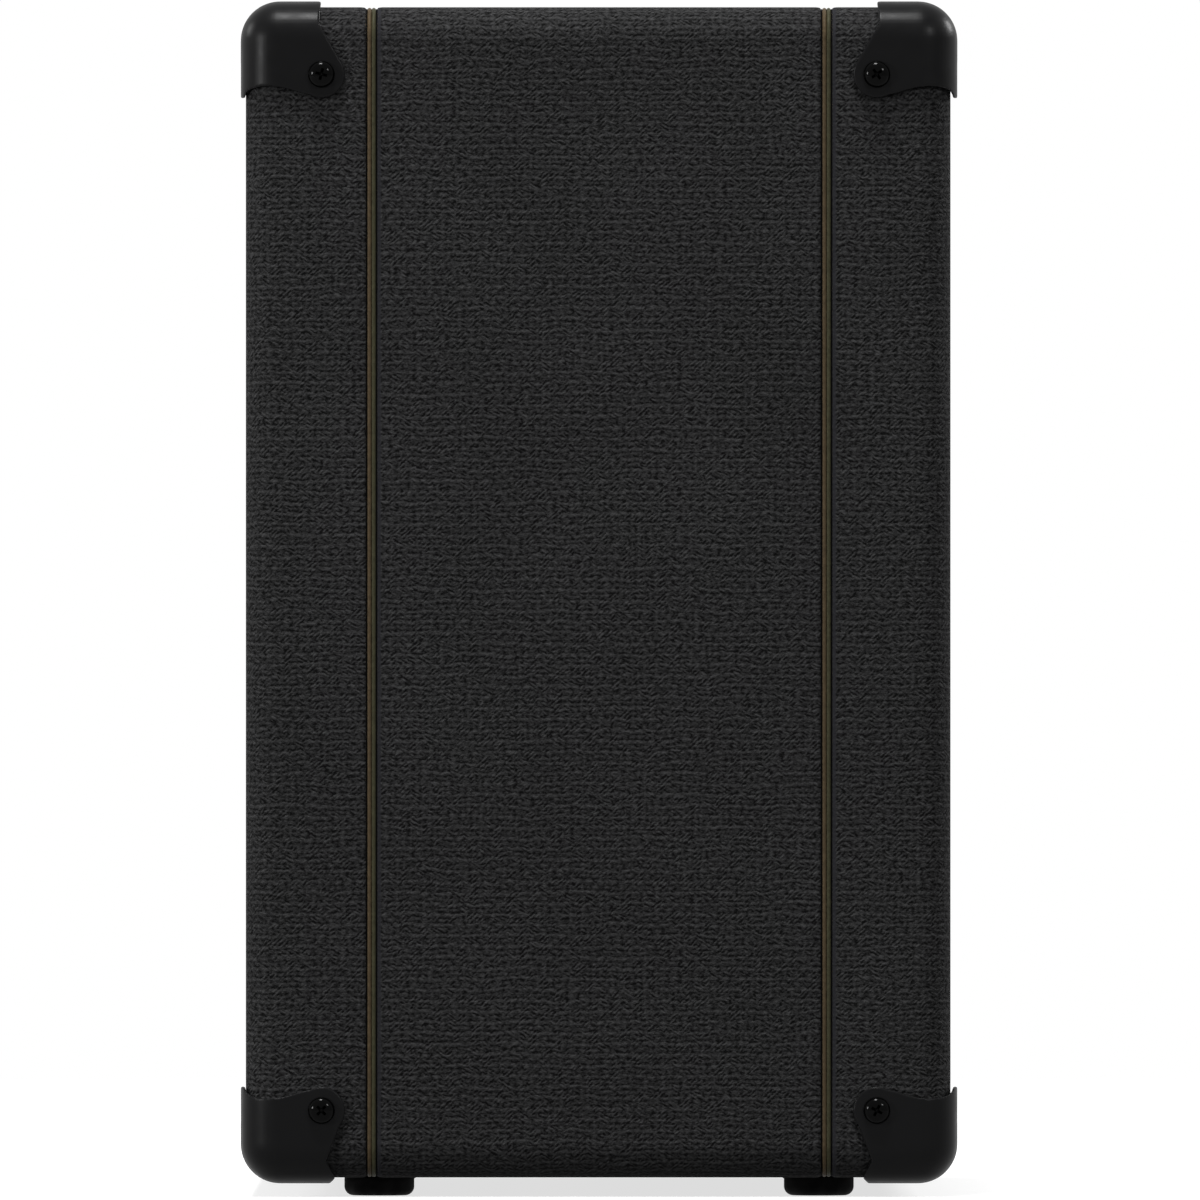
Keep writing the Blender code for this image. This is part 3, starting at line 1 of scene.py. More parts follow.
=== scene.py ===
"""Looks of a guitar combo amplifier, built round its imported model.

Metres, +Z up. The front faces -Y and X runs across it. Pieces are placed from the boxes of the
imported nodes, and their sizes follow the model's, so nothing here moves or resizes it.
"""

import logging
from collections.abc import Iterable, Sequence
from dataclasses import dataclass, replace
from enum import Enum
from itertools import product
from math import acos, atan2, copysign, cos, degrees, dist, exp, hypot, pi, radians, sin, tan

import bmesh
import bpy
from mathutils import Matrix, Vector


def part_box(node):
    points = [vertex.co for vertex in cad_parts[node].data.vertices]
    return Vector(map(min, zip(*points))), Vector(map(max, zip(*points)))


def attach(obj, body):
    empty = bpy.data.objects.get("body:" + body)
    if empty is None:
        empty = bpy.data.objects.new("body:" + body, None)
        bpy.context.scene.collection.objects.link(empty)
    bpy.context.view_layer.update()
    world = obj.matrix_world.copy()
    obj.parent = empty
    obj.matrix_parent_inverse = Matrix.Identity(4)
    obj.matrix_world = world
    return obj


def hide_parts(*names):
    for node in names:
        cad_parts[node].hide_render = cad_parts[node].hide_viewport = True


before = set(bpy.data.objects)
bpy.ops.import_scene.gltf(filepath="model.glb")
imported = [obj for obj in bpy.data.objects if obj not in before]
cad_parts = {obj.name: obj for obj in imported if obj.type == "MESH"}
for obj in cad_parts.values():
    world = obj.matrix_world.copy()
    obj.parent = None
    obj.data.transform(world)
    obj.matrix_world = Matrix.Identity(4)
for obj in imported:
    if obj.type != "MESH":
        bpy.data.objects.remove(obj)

LOG = logging.getLogger("combo")
Point2 = tuple[float, float]
Colour = tuple[float, float, float]
Node = bpy.types.Node
Socket = bpy.types.NodeSocket
Material = bpy.types.Material
Piece = bpy.types.Object
Places = Iterable[tuple[Sequence[float], Sequence[float]]]

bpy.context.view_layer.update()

GAP = 0.0003
HAIR = 0.00005
MERGE = 0.000001
RIGHT = Vector((1.0, 0.0, 0.0))
BACK = Vector((0.0, 1.0, 0.0))
UP = Vector((0.0, 0.0, 1.0))
# The quarters of a rectangle, anticlockwise from the upper right
QUARTERS = ((1, 1), (-1, 1), (-1, -1), (1, -1))
# Turns a shape made about Z so that its top faces the front of the amplifier
FACE_FRONT = Matrix.Rotation(pi / 2, 4, "X")


class Side(Enum):
    """The two ends of the cabinet, with the sign of their X."""

    RIGHT = 1
    LEFT = -1


class Edge(Enum):
    """The front and rear of the cabinet, with the sign of their Y."""

    FRONT = -1
    REAR = 1


class Level(Enum):
    """The top and bottom of the cabinet, with the sign of their Z."""

    TOP = 1
    BOTTOM = -1


class Facing(Enum):
    """The axis that a flat outline is extruded along."""

    ACROSS = Matrix(((0, 0, 1, 0), (1, 0, 0, 0), (0, 1, 0, 0), (0, 0, 0, 1)))
    DEPTH = Matrix(((1, 0, 0, 0), (0, 0, -1, 0), (0, 1, 0, 0), (0, 0, 0, 1)))
    HEIGHT = Matrix.Identity(4)

    def shift(self, distance: float) -> Matrix:
        """A move of that distance along the axis."""
        axis = {Facing.ACROSS: RIGHT, Facing.DEPTH: BACK, Facing.HEIGHT: UP}[self]
        return Matrix.Translation(axis * distance)


@dataclass(frozen=True)
class NodeBox:
    """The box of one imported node."""

    low: Vector
    high: Vector

    @classmethod
    def of(cls, node: str) -> "NodeBox":
        """The box of the named node."""
        low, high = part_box(node)
        return cls(Vector(low), Vector(high))

    @property
    def centre(self) -> Vector:
        """The middle of the box."""
        return (self.low + self.high) / 2

    @property
    def size(self) -> Vector:
        """The box's width, depth and height."""
        return self.high - self.low


# Outlines


def rectangle(width: float, height: float, centre: Point2 = (0.0, 0.0)) -> list[Point2]:
    """Corners of an upright rectangle, anticlockwise."""
    across, up = centre
    return [(across + side * width / 2, up + rise * height / 2) for side, rise in QUARTERS]


def arc(centre: Point2, radius: float, start: float, end: float, steps: int) -> list[Point2]:
    """Points on an arc.

    Args:
        centre: The middle of the circle.
        radius: Its radius.
        start: The first angle, in degrees.
        end: The last angle, in degrees.
        steps: How many equal steps the arc takes.

    Returns:
        One point more than the steps.
    """
    angles = [radians(start + (end - start) * step / steps) for step in range(steps + 1)]
    return [(centre[0] + radius * cos(angle), centre[1] + radius * sin(angle)) for angle in angles]


def circle(radius: float, steps: int = 48) -> list[Point2]:
    """Points on a whole circle."""
    return arc((0.0, 0.0), radius, 0, 360 - 360 / steps, steps - 1)


def rounded_rectangle(width: float, height: float, radius: float, centre: Point2 = (0.0, 0.0),
                      steps: int = 10) -> list[Point2]:
    """A rectangle with its corners rounded.

    Args:
        width: Its whole width.
        height: Its whole height.
        radius: The radius of its corners.
        centre: The middle of the rectangle.
        steps: How many steps each corner takes.

    Returns:
        The outline, anticlockwise from the right of its upper right corner.
    """
    points = []
    for quarter, (side, rise) in enumerate(QUARTERS):
        middle = (centre[0] + side * (width / 2 - radius), centre[1] + rise * (height / 2 - radius))
        points += arc(middle, radius, 90 * quarter, 90 * quarter + 90, steps)
    return points


def dome(radius: float, height: float, steps: int) -> list[Point2]:
    """A quarter of an ellipse as (radius, height) points, from its top down to its rim."""
    angles = [pi / 2 * step / steps for step in range(steps + 1)]
    return [(radius * sin(angle), height * cos(angle)) for angle in angles]


def offset(line: Sequence[Point2], distance: float) -> list[Point2]:
    """A line moved to its left by a distance, square to itself at every point.

    Args:
        line: The points of the line.
        distance: How far it moves, in metres.

    Returns:
        The moved points.
    """
    moved = []
    for index, point in enumerate(line):
        before = Vector(line[max(index - 1, 0)])
        after = Vector(line[min(index + 1, len(line) - 1)])
        along = (after - before).normalized()
        moved.append((point[0] - along.y * distance, point[1] + along.x * distance))
    return moved


# Meshes


def new_piece(name: str, data: bpy.types.ID) -> Piece:
    """An object in the scene that holds the data, such as a mesh.

    Args:
        name: The object's name.
        data: Its mesh or curve.

    Returns:
        The object.
    """
    piece = bpy.data.objects.new(name, data)
    bpy.context.scene.collection.objects.link(piece)
    return piece


def from_solid(name: str, solid: bmesh.types.BMesh, smooth: float = 40.0) -> Piece:
    """A piece from an edited mesh, smooth where its faces meet at less than an angle.

    Args:
        name: The new object's name.
        solid: The mesh being edited, which is freed.
        smooth: The largest angle between faces that is smoothed over, in degrees.

    Returns:
        The new object.
    """
    mesh = bpy.data.meshes.new(name)
    solid.to_mesh(mesh)
    solid.free()
    soften(mesh, smooth)
    return new_piece(name, mesh)


def soften(mesh: bpy.types.Mesh, smooth: float = 40.0) -> None:
    """Shade a mesh smooth, with sharp edges where its faces meet at more than an angle."""
    mesh.shade_smooth()
    mesh.set_sharp_from_angle(angle=radians(smooth))


def evaluated(piece: Piece) -> bpy.types.Mesh:
    """A piece's mesh with its modifiers applied."""
    bpy.context.view_layer.update()
    return bpy.data.meshes.new_from_object(piece.evaluated_get(bpy.context.evaluated_depsgraph_get()))


def baked(piece: Piece, smooth: float = 40.0) -> Piece:
    """Apply a piece's modifiers and its place to its mesh.

    Args:
        piece: A mesh, curve or text object, which is removed.
        smooth: The largest angle between faces that is smoothed over, in degrees.

    Returns:
        A plain mesh object of the same name at the origin.
    """
    mesh = evaluated(piece)
    mesh.transform(piece.matrix_world)
    if piece.matrix_world.determinant() < 0:
        mesh.flip_normals()
    name = piece.name
    bpy.data.objects.remove(piece)
    mesh.name = name
    soften(mesh, smooth)
    return new_piece(name, mesh)


def welded(piece: Piece) -> Piece:
    """Close a piece's seams and point its faces out.

    Args:
        piece: The piece, changed in place.

    Returns:
        The same piece.
    """
    solid = bmesh.new()
    solid.from_mesh(piece.data)
    bmesh.ops.remove_doubles(solid, verts=solid.verts, dist=MERGE)
    bmesh.ops.recalc_face_normals(solid, faces=solid.faces)
    solid.to_mesh(piece.data)
    solid.free()
    return piece


def loft(name: str, rings: Sequence[Sequence[Vector]], closed: bool = False,
         matrix: Matrix | None = None, smooth: float = 40.0) -> Piece:
    """Skin over rings of points.

    Args:
        name: The new object's name.
        rings: Each ring's points in order. A ring of one point is a pole.
        closed: Whether the last ring joins the first.
        matrix: Where the shape is put.
        smooth: The largest angle between faces that is smoothed over, in degrees.

    Returns:
        The new object, its ends closed.
    """
    solid = bmesh.new()
    rows = [[solid.verts.new(point) for point in ring] for ring in rings]
    for first, second in zip(rows, rows[1:] + rows[:1] * closed):
        count = max(len(first), len(second))
        for index in range(count):
            following = (index + 1) % count
            corners = [first[index % len(first)], first[following % len(first)],
                       second[following % len(second)], second[index % len(second)]]
            solid.faces.new(dict.fromkeys(corners))
    if not closed:
        for row in (rows[0], rows[-1]):
            if len(row) > 1:
                solid.faces.new(row)
    bmesh.ops.recalc_face_normals(solid, faces=solid.faces)
    if matrix is not None:
        bmesh.ops.transform(solid, matrix=matrix, verts=solid.verts)
    return from_solid(name, solid, smooth)


def lathe(name: str, profile: Sequence[Point2], steps: int, matrix: Matrix | None = None,
          closed: bool = False, smooth: float = 40.0) -> Piece:
    """A profile of (radius, height) points turned about Z.

    Args:
        name: The new object's name.
        profile: The points in order. A radius of zero is a pole.
        steps: How many sides the turned shape has.
        matrix: Where the shape is put.
        closed: Whether the last point of the profile joins the first.
        smooth: The largest angle between faces that is smoothed over, in degrees.

    Returns:
        The new object.
    """
    rings = []
    for radius, height in profile:
        count = steps if radius > MERGE else 1
        turns = [2 * pi * step / steps for step in range(count)]
        rings.append([Vector((radius * cos(turn), radius * sin(turn), height)) for turn in turns])
    return loft(name, rings, closed, matrix, smooth)


def curved(name: str, paths: Sequence[Sequence[Sequence[float]]], closed: bool, **settings: object) -> Piece:
    """A curve through points.

    Args:
        name: The new object's name.
        paths: The points of each of its paths.
        closed: Whether each path ends where it starts.
        settings: The curve's settings.

    Returns:
        The curve's object.
    """
    curve = bpy.data.curves.new(name, "CURVE")
    for key, value in settings.items():
        setattr(curve, key, value)
    for path in paths:
        spline = curve.splines.new("POLY")
        spline.points.add(len(path) - 1)
        for point, place in zip(spline.points, path):
            point.co = Vector(place).to_3d().to_4d()
        spline.use_cyclic_u = closed
    return new_piece(name, curve)


def slab(name: str, outlines: Sequence[Sequence[Point2]], start: float, end: float, facing: Facing) -> Piece:
    """An outline made solid.

    Args:
        name: The new object's name.
        outlines: The outline, and after it its holes.
        start: Where it starts on the axis that it faces along.
        end: Where it ends.
        facing: That axis.

    Returns:
        The new object.
    """
    piece = curved(name, outlines, True, dimensions="2D", fill_mode="BOTH", extrude=(end - start) / 2)
    piece.matrix_world = facing.shift((start + end) / 2) @ facing.value
    return welded(baked(piece))


def block(name: str, size: Sequence[float], centre: Sequence[float]) -> Piece:
    """A plain box.

    Args:
        name: The object's name.
        size: Its three sizes.
        centre: Its middle.

    Returns:
        The box.
    """
    solid = bmesh.new()
    place = Matrix.Translation(centre) @ Matrix.Diagonal((*size, 1.0))
    bmesh.ops.create_cube(solid, size=1.0, matrix=place)
    return from_solid(name, solid)


def bevelled(piece: Piece, width: float, segments: int = 3, angle: float = 32.0) -> Piece:
    """Round a piece's edges and even out its shading.

    Args:
        piece: The piece, which is replaced.
        width: How far the rounding reaches from each edge.
        segments: How many steps it takes.
        angle: Edges sharper than this are rounded, in degrees.

    Returns:
        The rounded piece.
    """
    bevel = piece.modifiers.new("edges", "BEVEL")
    bevel.width = width
    bevel.segments = segments
    bevel.limit_method = "ANGLE"
    bevel.angle_limit = radians(angle)
    rounded = baked(piece, 60.0)
    rounded.modifiers.new("normals", "WEIGHTED_NORMAL").keep_sharp = True
    mesh = evaluated(rounded)
    rounded.modifiers.clear()
    rounded.data = mesh
    return rounded


def combined(piece: Piece, operation: str, *tools: Piece) -> Piece:
    """Cut, join or intersect a piece with others, which are used up.

    Args:
        piece: The piece that is kept.
        operation: The Boolean's operation.
        tools: The pieces that work on it.

    Returns:
        The kept piece.
    """
    for tool in tools:
        step = piece.modifiers.new(tool.name, "BOOLEAN")
        step.operation = operation
        step.solver = "EXACT"
        step.object = tool
    result = baked(piece)
    for tool in tools:
        bpy.data.objects.remove(tool)
    return result


def gathered(name: str, pieces: Iterable[Piece]) -> Piece:
    """One object made of several, each still a closed body.

    Args:
        name: The object's name.
        pieces: The pieces, which are used up.

    Returns:
        The one object.
    """
    whole = bmesh.new()
    for piece in pieces:
        whole.from_mesh(piece.data)
        bpy.data.objects.remove(piece)
    mesh = bpy.data.meshes.new(name)
    whole.to_mesh(mesh)
    whole.free()
    return new_piece(name, mesh)


def hexagonal(name: str, profile: Sequence[tuple[float, float, bool]], steps: int, closed: bool = False) -> Piece:
    """A nut or bolt that stands on Z.

    Args:
        name: The new object's name.
        profile: Its outline as (radius, height, whether it has six sides there).
        steps: How many points go round it.
        closed: Whether the last point of the profile joins the first.

    Returns:
        The new object.
    """
    rings = []
    for radius, height, sided in profile:
        turns = [2 * pi * step / steps for step in range(steps if radius else 1)]
        reaches = [radius * (cos(pi / 6) / cos((turn % (pi / 3)) - pi / 6) if sided else 1) for turn in turns]
        rings.append([Vector((reach * cos(turn), reach * sin(turn), height)) for reach, turn in zip(reaches, turns)])
    return loft(name, rings, closed, smooth=28.0)


def mirrored(piece: Piece, name: str, axes: Iterable[int]) -> Piece:
    """A copy of a piece, reflected in the planes square to some axes.

    Args:
        piece: The piece, which stays.
        name: The copy's name.
        axes: The axes by number, X being 0.

    Returns:
        The copy.
    """
    mesh = piece.data.copy()
    for index in axes:
        reflect = Matrix.Identity(4)
        reflect[index][index] = -1.0
        mesh.transform(reflect)
        mesh.flip_normals()
    mesh.name = name
    return new_piece(name, mesh)


def lettering(text: str, height: float, place: Point2, level: float) -> Piece:
    """A word or number in the default font, raised a hair above the control panel.

    Args:
        text: What it says.
        height: The height of a capital.
        place: Its middle on the panel, across and up.
        level: The panel's front.

    Returns:
        A thin flat mesh.
    """
    curve = bpy.data.curves.new(f"mark_{text}", "FONT")
    curve.body = text
    curve.size = height / 0.69
    curve.align_x = "CENTER"
    curve.align_y = "CENTER"
    curve.extrude = HAIR
    piece = new_piece(f"mark_{text}", curve)
    piece.matrix_world = Matrix.Translation((place[0], level - HAIR, place[1])) @ FACE_FRONT
    return baked(piece)


def weave_map(piece: Piece) -> Piece:
    """Lay a flat covering's weave over a piece, in metres, each face along the axis it faces most.

    Args:
        piece: The piece, changed in place.

    Returns:
        The same piece.
    """
    layer = piece.data.uv_layers.new(name="weave")
    for face in piece.data.polygons:
        normal = [abs(part) for part in face.normal]
        facing = normal.index(max(normal))
        rib, stack = ((1, 2), (0, 2), (0, 1))[facing]
        for corner in face.loop_indices:
            place = piece.data.vertices[piece.data.loops[corner].vertex_index].co
            layer.data[corner].uv = (place[stack], place[rib])
    return piece


# Nodes


class NodeTree:
    """A tree of nodes built call by call. A node stands for its first output where a source is asked for."""

    def __init__(self, tree: bpy.types.NodeTree) -> None:
        """Build in a tree."""
        self.tree = tree

    def into(self, target: Socket, source: object) -> None:
        """Link an input to a socket or node, or set its value.

        Args:
            target: The input.
            source: The socket, node or value.
        """
        if isinstance(source, Node):
            source = source.outputs[0]
        if isinstance(source, Socket):
            self.tree.links.new(source, target)
        elif target.type == "RGBA":
            target.default_value = (*source, 1.0)
        else:
            target.default_value = source

    def feed(self, node: Node, *sources: object, **named: object) -> Node:
        """Link or set a node's inputs.

        Args:
            node: The node.
            sources: What its first inputs get, in order.
            named: What other inputs get, each by its name with _ for a space.

        Returns:
            The same node.
        """
        pairs = list(zip(node.inputs, sources))
        pairs += [(node.inputs[key.replace("_", " ")], source) for key, source in named.items()]
        for target, source in pairs:
            self.into(target, source)
        return node

    def add(self, kind: str, *sources: object, **named: object) -> Node:
        """Add a node.

        Args:
            kind: Its type.
            sources: What its first inputs get, in order.
            named: Its settings, in small letters, and what other inputs get, by their names.

        Returns:
            The new node.
        """
        node = self.tree.nodes.new(kind)
        for key in [key for key in named if key.islower()]:
            setattr(node, key, named.pop(key))
        return self.feed(node, *sources, **named)

    def sum(self, operation: str, *sources: object) -> Socket:
        """The result of a sum on numbers."""
        return self.add("ShaderNodeMath", *sources, operation=operation).outputs[0]


class GeometryTree(NodeTree):
    """A Geometry Nodes tree with named inputs."""

    def __init__(self, name: str, **inputs: Sequence[str]) -> None:
        """Start a tree that takes geometry and a finish.

        Args:
            name: The tree's name.
            inputs: For each kind of value, such as Float, the names of the inputs that bring one.
        """
        super().__init__(bpy.data.node_groups.new(name, "GeometryNodeTree"))
        self.identifiers: dict[str, str] = {}
        self.outlet = self.add("NodeGroupOutput")
        self.inlet = self.add("NodeGroupInput")
        self.tree.interface.new_socket(name="Geometry", in_out="OUTPUT", socket_type="NodeSocketGeometry")
        for kind, names in {"Geometry": ["Geometry"], "Material": ["Finish"], **inputs}.items():
            for title in names:
                item = self.tree.interface.new_socket(name=title, in_out="INPUT", socket_type=f"NodeSocket{kind}")
                self.identifiers[title] = item.identifier

    def given(self, name: str) -> Socket:
        """The value that a named input brings."""
        return self.inlet.outputs[name]

    def box(self, *lengths: str) -> Node:
        """A box that has named inputs as its width, depth and height."""
        size = self.add("ShaderNodeCombineXYZ", *map(self.given, lengths))
        return self.add("GeometryNodeMeshCube", Size=size)

    def close(self, geometry: object) -> "GeometryTree":
        """End the tree with real geometry in the given finish, and return it.

        Args:
            geometry: The socket or node that ends the tree.

        Returns:
            The tree itself.
        """
        real = self.add("GeometryNodeRealizeInstances", geometry)
        self.feed(self.outlet, self.add("GeometryNodeSetMaterial", Geometry=real, Material=self.given("Finish")))
        return self

    def run(self, name: str, base: Piece, finish: Material, smooth: float = 40.0, **values: object) -> Piece:
        """Run the tree on a base object and keep the result as a plain mesh.

        Args:
            name: The result's name.
            base: The object that the tree starts from, which is used up.
            finish: The material of the result.
            smooth: The largest angle between faces that is smoothed over, in degrees.
            values: For each named input, by its name with _ for a space, its value.

        Returns:
            The result, one plain mesh object.
        """
        step = base.modifiers.new(self.tree.name, "NODES")
        step.node_group = self.tree
        step[self.identifiers["Finish"]] = finish
        for key, value in values.items():
            step[self.identifiers[key.replace("_", " ")]] = value
        result = baked(base, smooth)
        result.name = name
        return result


def fastener_tree() -> GeometryTree:
    """Copies of one fastener on points, each turned to face along its own attribute and spun.

    Returns:
        The tree.
    """
    made = GeometryTree("fasteners", Object=["Fastener"], Float=["Size", "Spin"], Int=["Seed"])
    facing = made.add("GeometryNodeInputNamedAttribute", data_type="FLOAT_VECTOR", Name="facing")
    aligned = made.add("FunctionNodeAlignRotationToVector", axis="Z", Vector=facing)
    chance = made.add("FunctionNodeRandomValue", data_type="FLOAT", Seed=made.given("Seed"))
    made.into(chance.inputs[3], made.given("Spin"))
    spin = made.add("FunctionNodeAxisAngleToRotation", Axis=(0.0, 0.0, 1.0), Angle=chance.outputs[1])
    turned = made.add("FunctionNodeRotateRotation", rotation_space="LOCAL", Rotation=aligned, Rotate_By=spin)
    shape = made.add("GeometryNodeObjectInfo", Object=made.given("Fastener"))
    return made.close(made.add("GeometryNodeInstanceOnPoints", Points=made.given("Geometry"),
                               Instance=shape.outputs["Geometry"], Rotation=turned, Scale=made.given("Size")))


def strand_tree() -> GeometryTree:
    """Two round strands side by side along a path of edges.

    Returns:
        The tree.
    """
    made = GeometryTree("piping", Float=["Strand radius", "Spread"])
    path = made.add("GeometryNodeMeshToCurve", Mesh=made.given("Geometry"))
    section = made.add("GeometryNodeCurvePrimitiveCircle", Resolution=20, Radius=made.given("Strand radius"))
    joined = made.add("GeometryNodeJoinGeometry")
    for sign in (1.0, -1.0):
        aside = made.add("ShaderNodeCombineXYZ", Y=made.sum("MULTIPLY", made.given("Spread"), sign))
        moved = made.add("GeometryNodeSetPosition", Geometry=path, Offset=aside)
        made.feed(joined, made.add("GeometryNodeCurveToMesh", Curve=moved, Profile_Curve=section))
    return made.close(joined)


def tick_tree() -> GeometryTree:
    """Small bars standing round an arc, such as the marks of a dial.

    Returns:
        The tree.
    """
    made = GeometryTree("dial_marks", Int=["Count"],
                        Float=["Radius", "Start", "Sweep", "Length", "Width", "Thickness"])
    ring = made.add("GeometryNodeCurveArc", Resolution=made.given("Count"), Radius=made.given("Radius"),
                    Start_Angle=made.given("Start"), Sweep_Angle=made.given("Sweep"))
    points = made.add("GeometryNodeCurveToPoints", mode="EVALUATED", Curve=ring).outputs
    copies = made.add("GeometryNodeInstanceOnPoints", Points=points["Points"],
                      Instance=made.box("Width", "Length", "Thickness"), Rotation=points["Rotation"])
    return made.close(made.add("GeometryNodeRotateInstances", Instances=copies, Rotation=(pi / 2, 0.0, 0.0)))


def stack_tree() -> GeometryTree:
    """Equal plates in a row, such as the laminations of a transformer.

    Returns:
        The tree.
    """
    made = GeometryTree("plates", Float=["Pitch", "Thickness", "Width", "Height"], Int=["Count"])
    pitch = made.add("ShaderNodeCombineXYZ", Y=made.given("Pitch"))
    line = made.add("GeometryNodeMeshLine", mode="OFFSET", Count=made.given("Count"), Offset=pitch)
    return made.close(made.add("GeometryNodeInstanceOnPoints", Points=line,
                               Instance=made.box("Width", "Thickness", "Height")))


def facing_points(name: str, places: Places) -> Piece:
    """Loose points, each with the direction that what stands on it faces.

    Args:
        name: The object's name.
        places: Each point with its direction.

    Returns:
        The points.
    """
    spots, directions = zip(*places)
    mesh = bpy.data.meshes.new(name)
    mesh.from_pydata(spots, [], [])
    facing = mesh.attributes.new("facing", "FLOAT_VECTOR", "POINT")
    for point, direction in zip(facing.data, directions):
        point.vector = direction
    return new_piece(name, mesh)


# Finishes


class Shader(NodeTree):
    """A material's nodes. Each call returns the socket of its result."""

    def __init__(self, name: str) -> None:
        """Start a material that has only its main shader.

        Args:
            name: The material's name.
        """
        self.material = bpy.data.materials.new(name)
        self.material.use_nodes = True
        super().__init__(self.material.node_tree)
        self.surface = self.tree.nodes["Principled BSDF"]

    def place(self, scale: Sequence[float] = (1.0, 1.0, 1.0), turn: Sequence[float] = (0.0, 0.0, 0.0),
              chart: str | None = None) -> Socket:
        """Coordinates to lay a pattern on.

        Args:
            scale: How much each axis is stretched.
            turn: The rotation about each axis, in radians.
            chart: The name of a UV map to read in place of the object's own coordinates.

        Returns:
            The coordinates.
        """
        source = self.add("ShaderNodeUVMap", uv_map=chart) if chart else self.add("ShaderNodeTexCoord")
        start = source.outputs["UV" if chart else "Object"]
        return self.add("ShaderNodeMapping", Vector=start, Scale=scale, Rotation=turn).outputs[0]

    def noise(self, place: Socket, scale: float, detail: float = 3.0, roughness: float = 0.5,
              distortion: float = 0.0, colour: bool = False) -> Socket:
        """Soft noise over the coordinates, with that many features to the metre.

        Args:
            place: The coordinates.
            scale: Features to the metre.
            detail: Finer layers.
            roughness: How strong the finer layers are.
            distortion: How far it is stirred.
            colour: Whether the colour is wanted and not the factor.

        Returns:
            The noise.
        """
        node = self.add("ShaderNodeTexNoise", Vector=place, Scale=scale, Detail=detail, Roughness=roughness,
                        Distortion=distortion)
        return node.outputs["Color" if colour else "Fac"]

    def wander(self, place: Socket, scale: float, reach: float) -> Socket:
        """Coordinates pushed about by soft noise, up to half the reach each way.

        Args:
            place: The coordinates.
            scale: Features to the metre.
            reach: The widest push, in metres.

        Returns:
            The pushed coordinates.
        """
        centred = self.add("ShaderNodeVectorMath", self.noise(place, scale, 2.0, colour=True), (0.5, 0.5, 0.5),
                           operation="SUBTRACT")
        return self.add("ShaderNodeVectorMath", centred, (reach, reach, reach), place,
                        operation="MULTIPLY_ADD").outputs[0]

    def parts(self, place: Socket) -> Sequence[Socket]:
        """The coordinates one by one."""
        return self.add("ShaderNodeSeparateXYZ", place).outputs

    def wave(self, coordinate: Socket, pitch: float) -> Socket:
        """A sine with that pitch."""
        return self.sum("SINE", self.sum("MULTIPLY", coordinate, 2 * pi / pitch))

    def spread(self, value: Socket, low: float, high: float, to_low: float, to_high: float) -> Socket:
        """A value's range stretched onto another, and held within it."""
        return self.add("ShaderNodeMapRange", value, low, high, to_low, to_high, clamp=True).outputs[0]

    def blend(self, factor: object, first: object, second: object) -> Socket:
        """A colour between two others.

        Args:
            factor: The second colour's share.
            first: The first colour.
            second: The second colour.

        Returns:
            The mixed colour.
        """
        node = self.add("ShaderNodeMix", factor, data_type="RGBA")
        for target, source in zip(node.inputs[6:8], (first, second)):
            self.into(target, source)
        return node.outputs[2]

    def scaled(self, colour: object, factor: Socket) -> Socket:
        """A colour made darker or lighter."""
        return self.add("ShaderNodeVectorMath", colour, operation="SCALE", Scale=factor).outputs[0]

    def bump(self, height: Socket, distance: float, strength: float = 1.0, under: Socket | None = None) -> Socket:
        """A relief of that depth, over another one where given.

        Args:
            height: The relief from 0 to 1.
            distance: Its depth in metres.
            strength: Its share.
            under: The relief that it lies on.

        Returns:
            The normal.
        """
        node = self.add("ShaderNodeBump", Strength=strength, Distance=distance, Height=height)
        if under is not None:
            self.into(node.inputs["Normal"], under)
        return node.outputs[0]

    def finish(self, **sources: object) -> Material:
        """Feed the main shader, each input by its name with _ for a space, and return the material."""
        self.feed(self.surface, **sources)
        return self.material


@dataclass(frozen=True)
class Finish:
    """A surface: its colour, how rough it is, and how much it mirrors."""

    name: str
    colour: Colour
    roughness: float = 0.5
    specular: float = 0.5

    def material(self) -> Material:
        """The finish's material, made when it is first wanted."""
        return bpy.data.materials.get(self.name) or self.build(Shader(self.name))

    def shade(self, factor: float) -> Colour:
        """The colour made darker or lighter."""
        return tuple(part * factor for part in self.colour)

    def build(self, shader: Shader) -> Material:
        """Lay the finish on a new material. Each kind of finish has its own way."""
        raise NotImplementedError


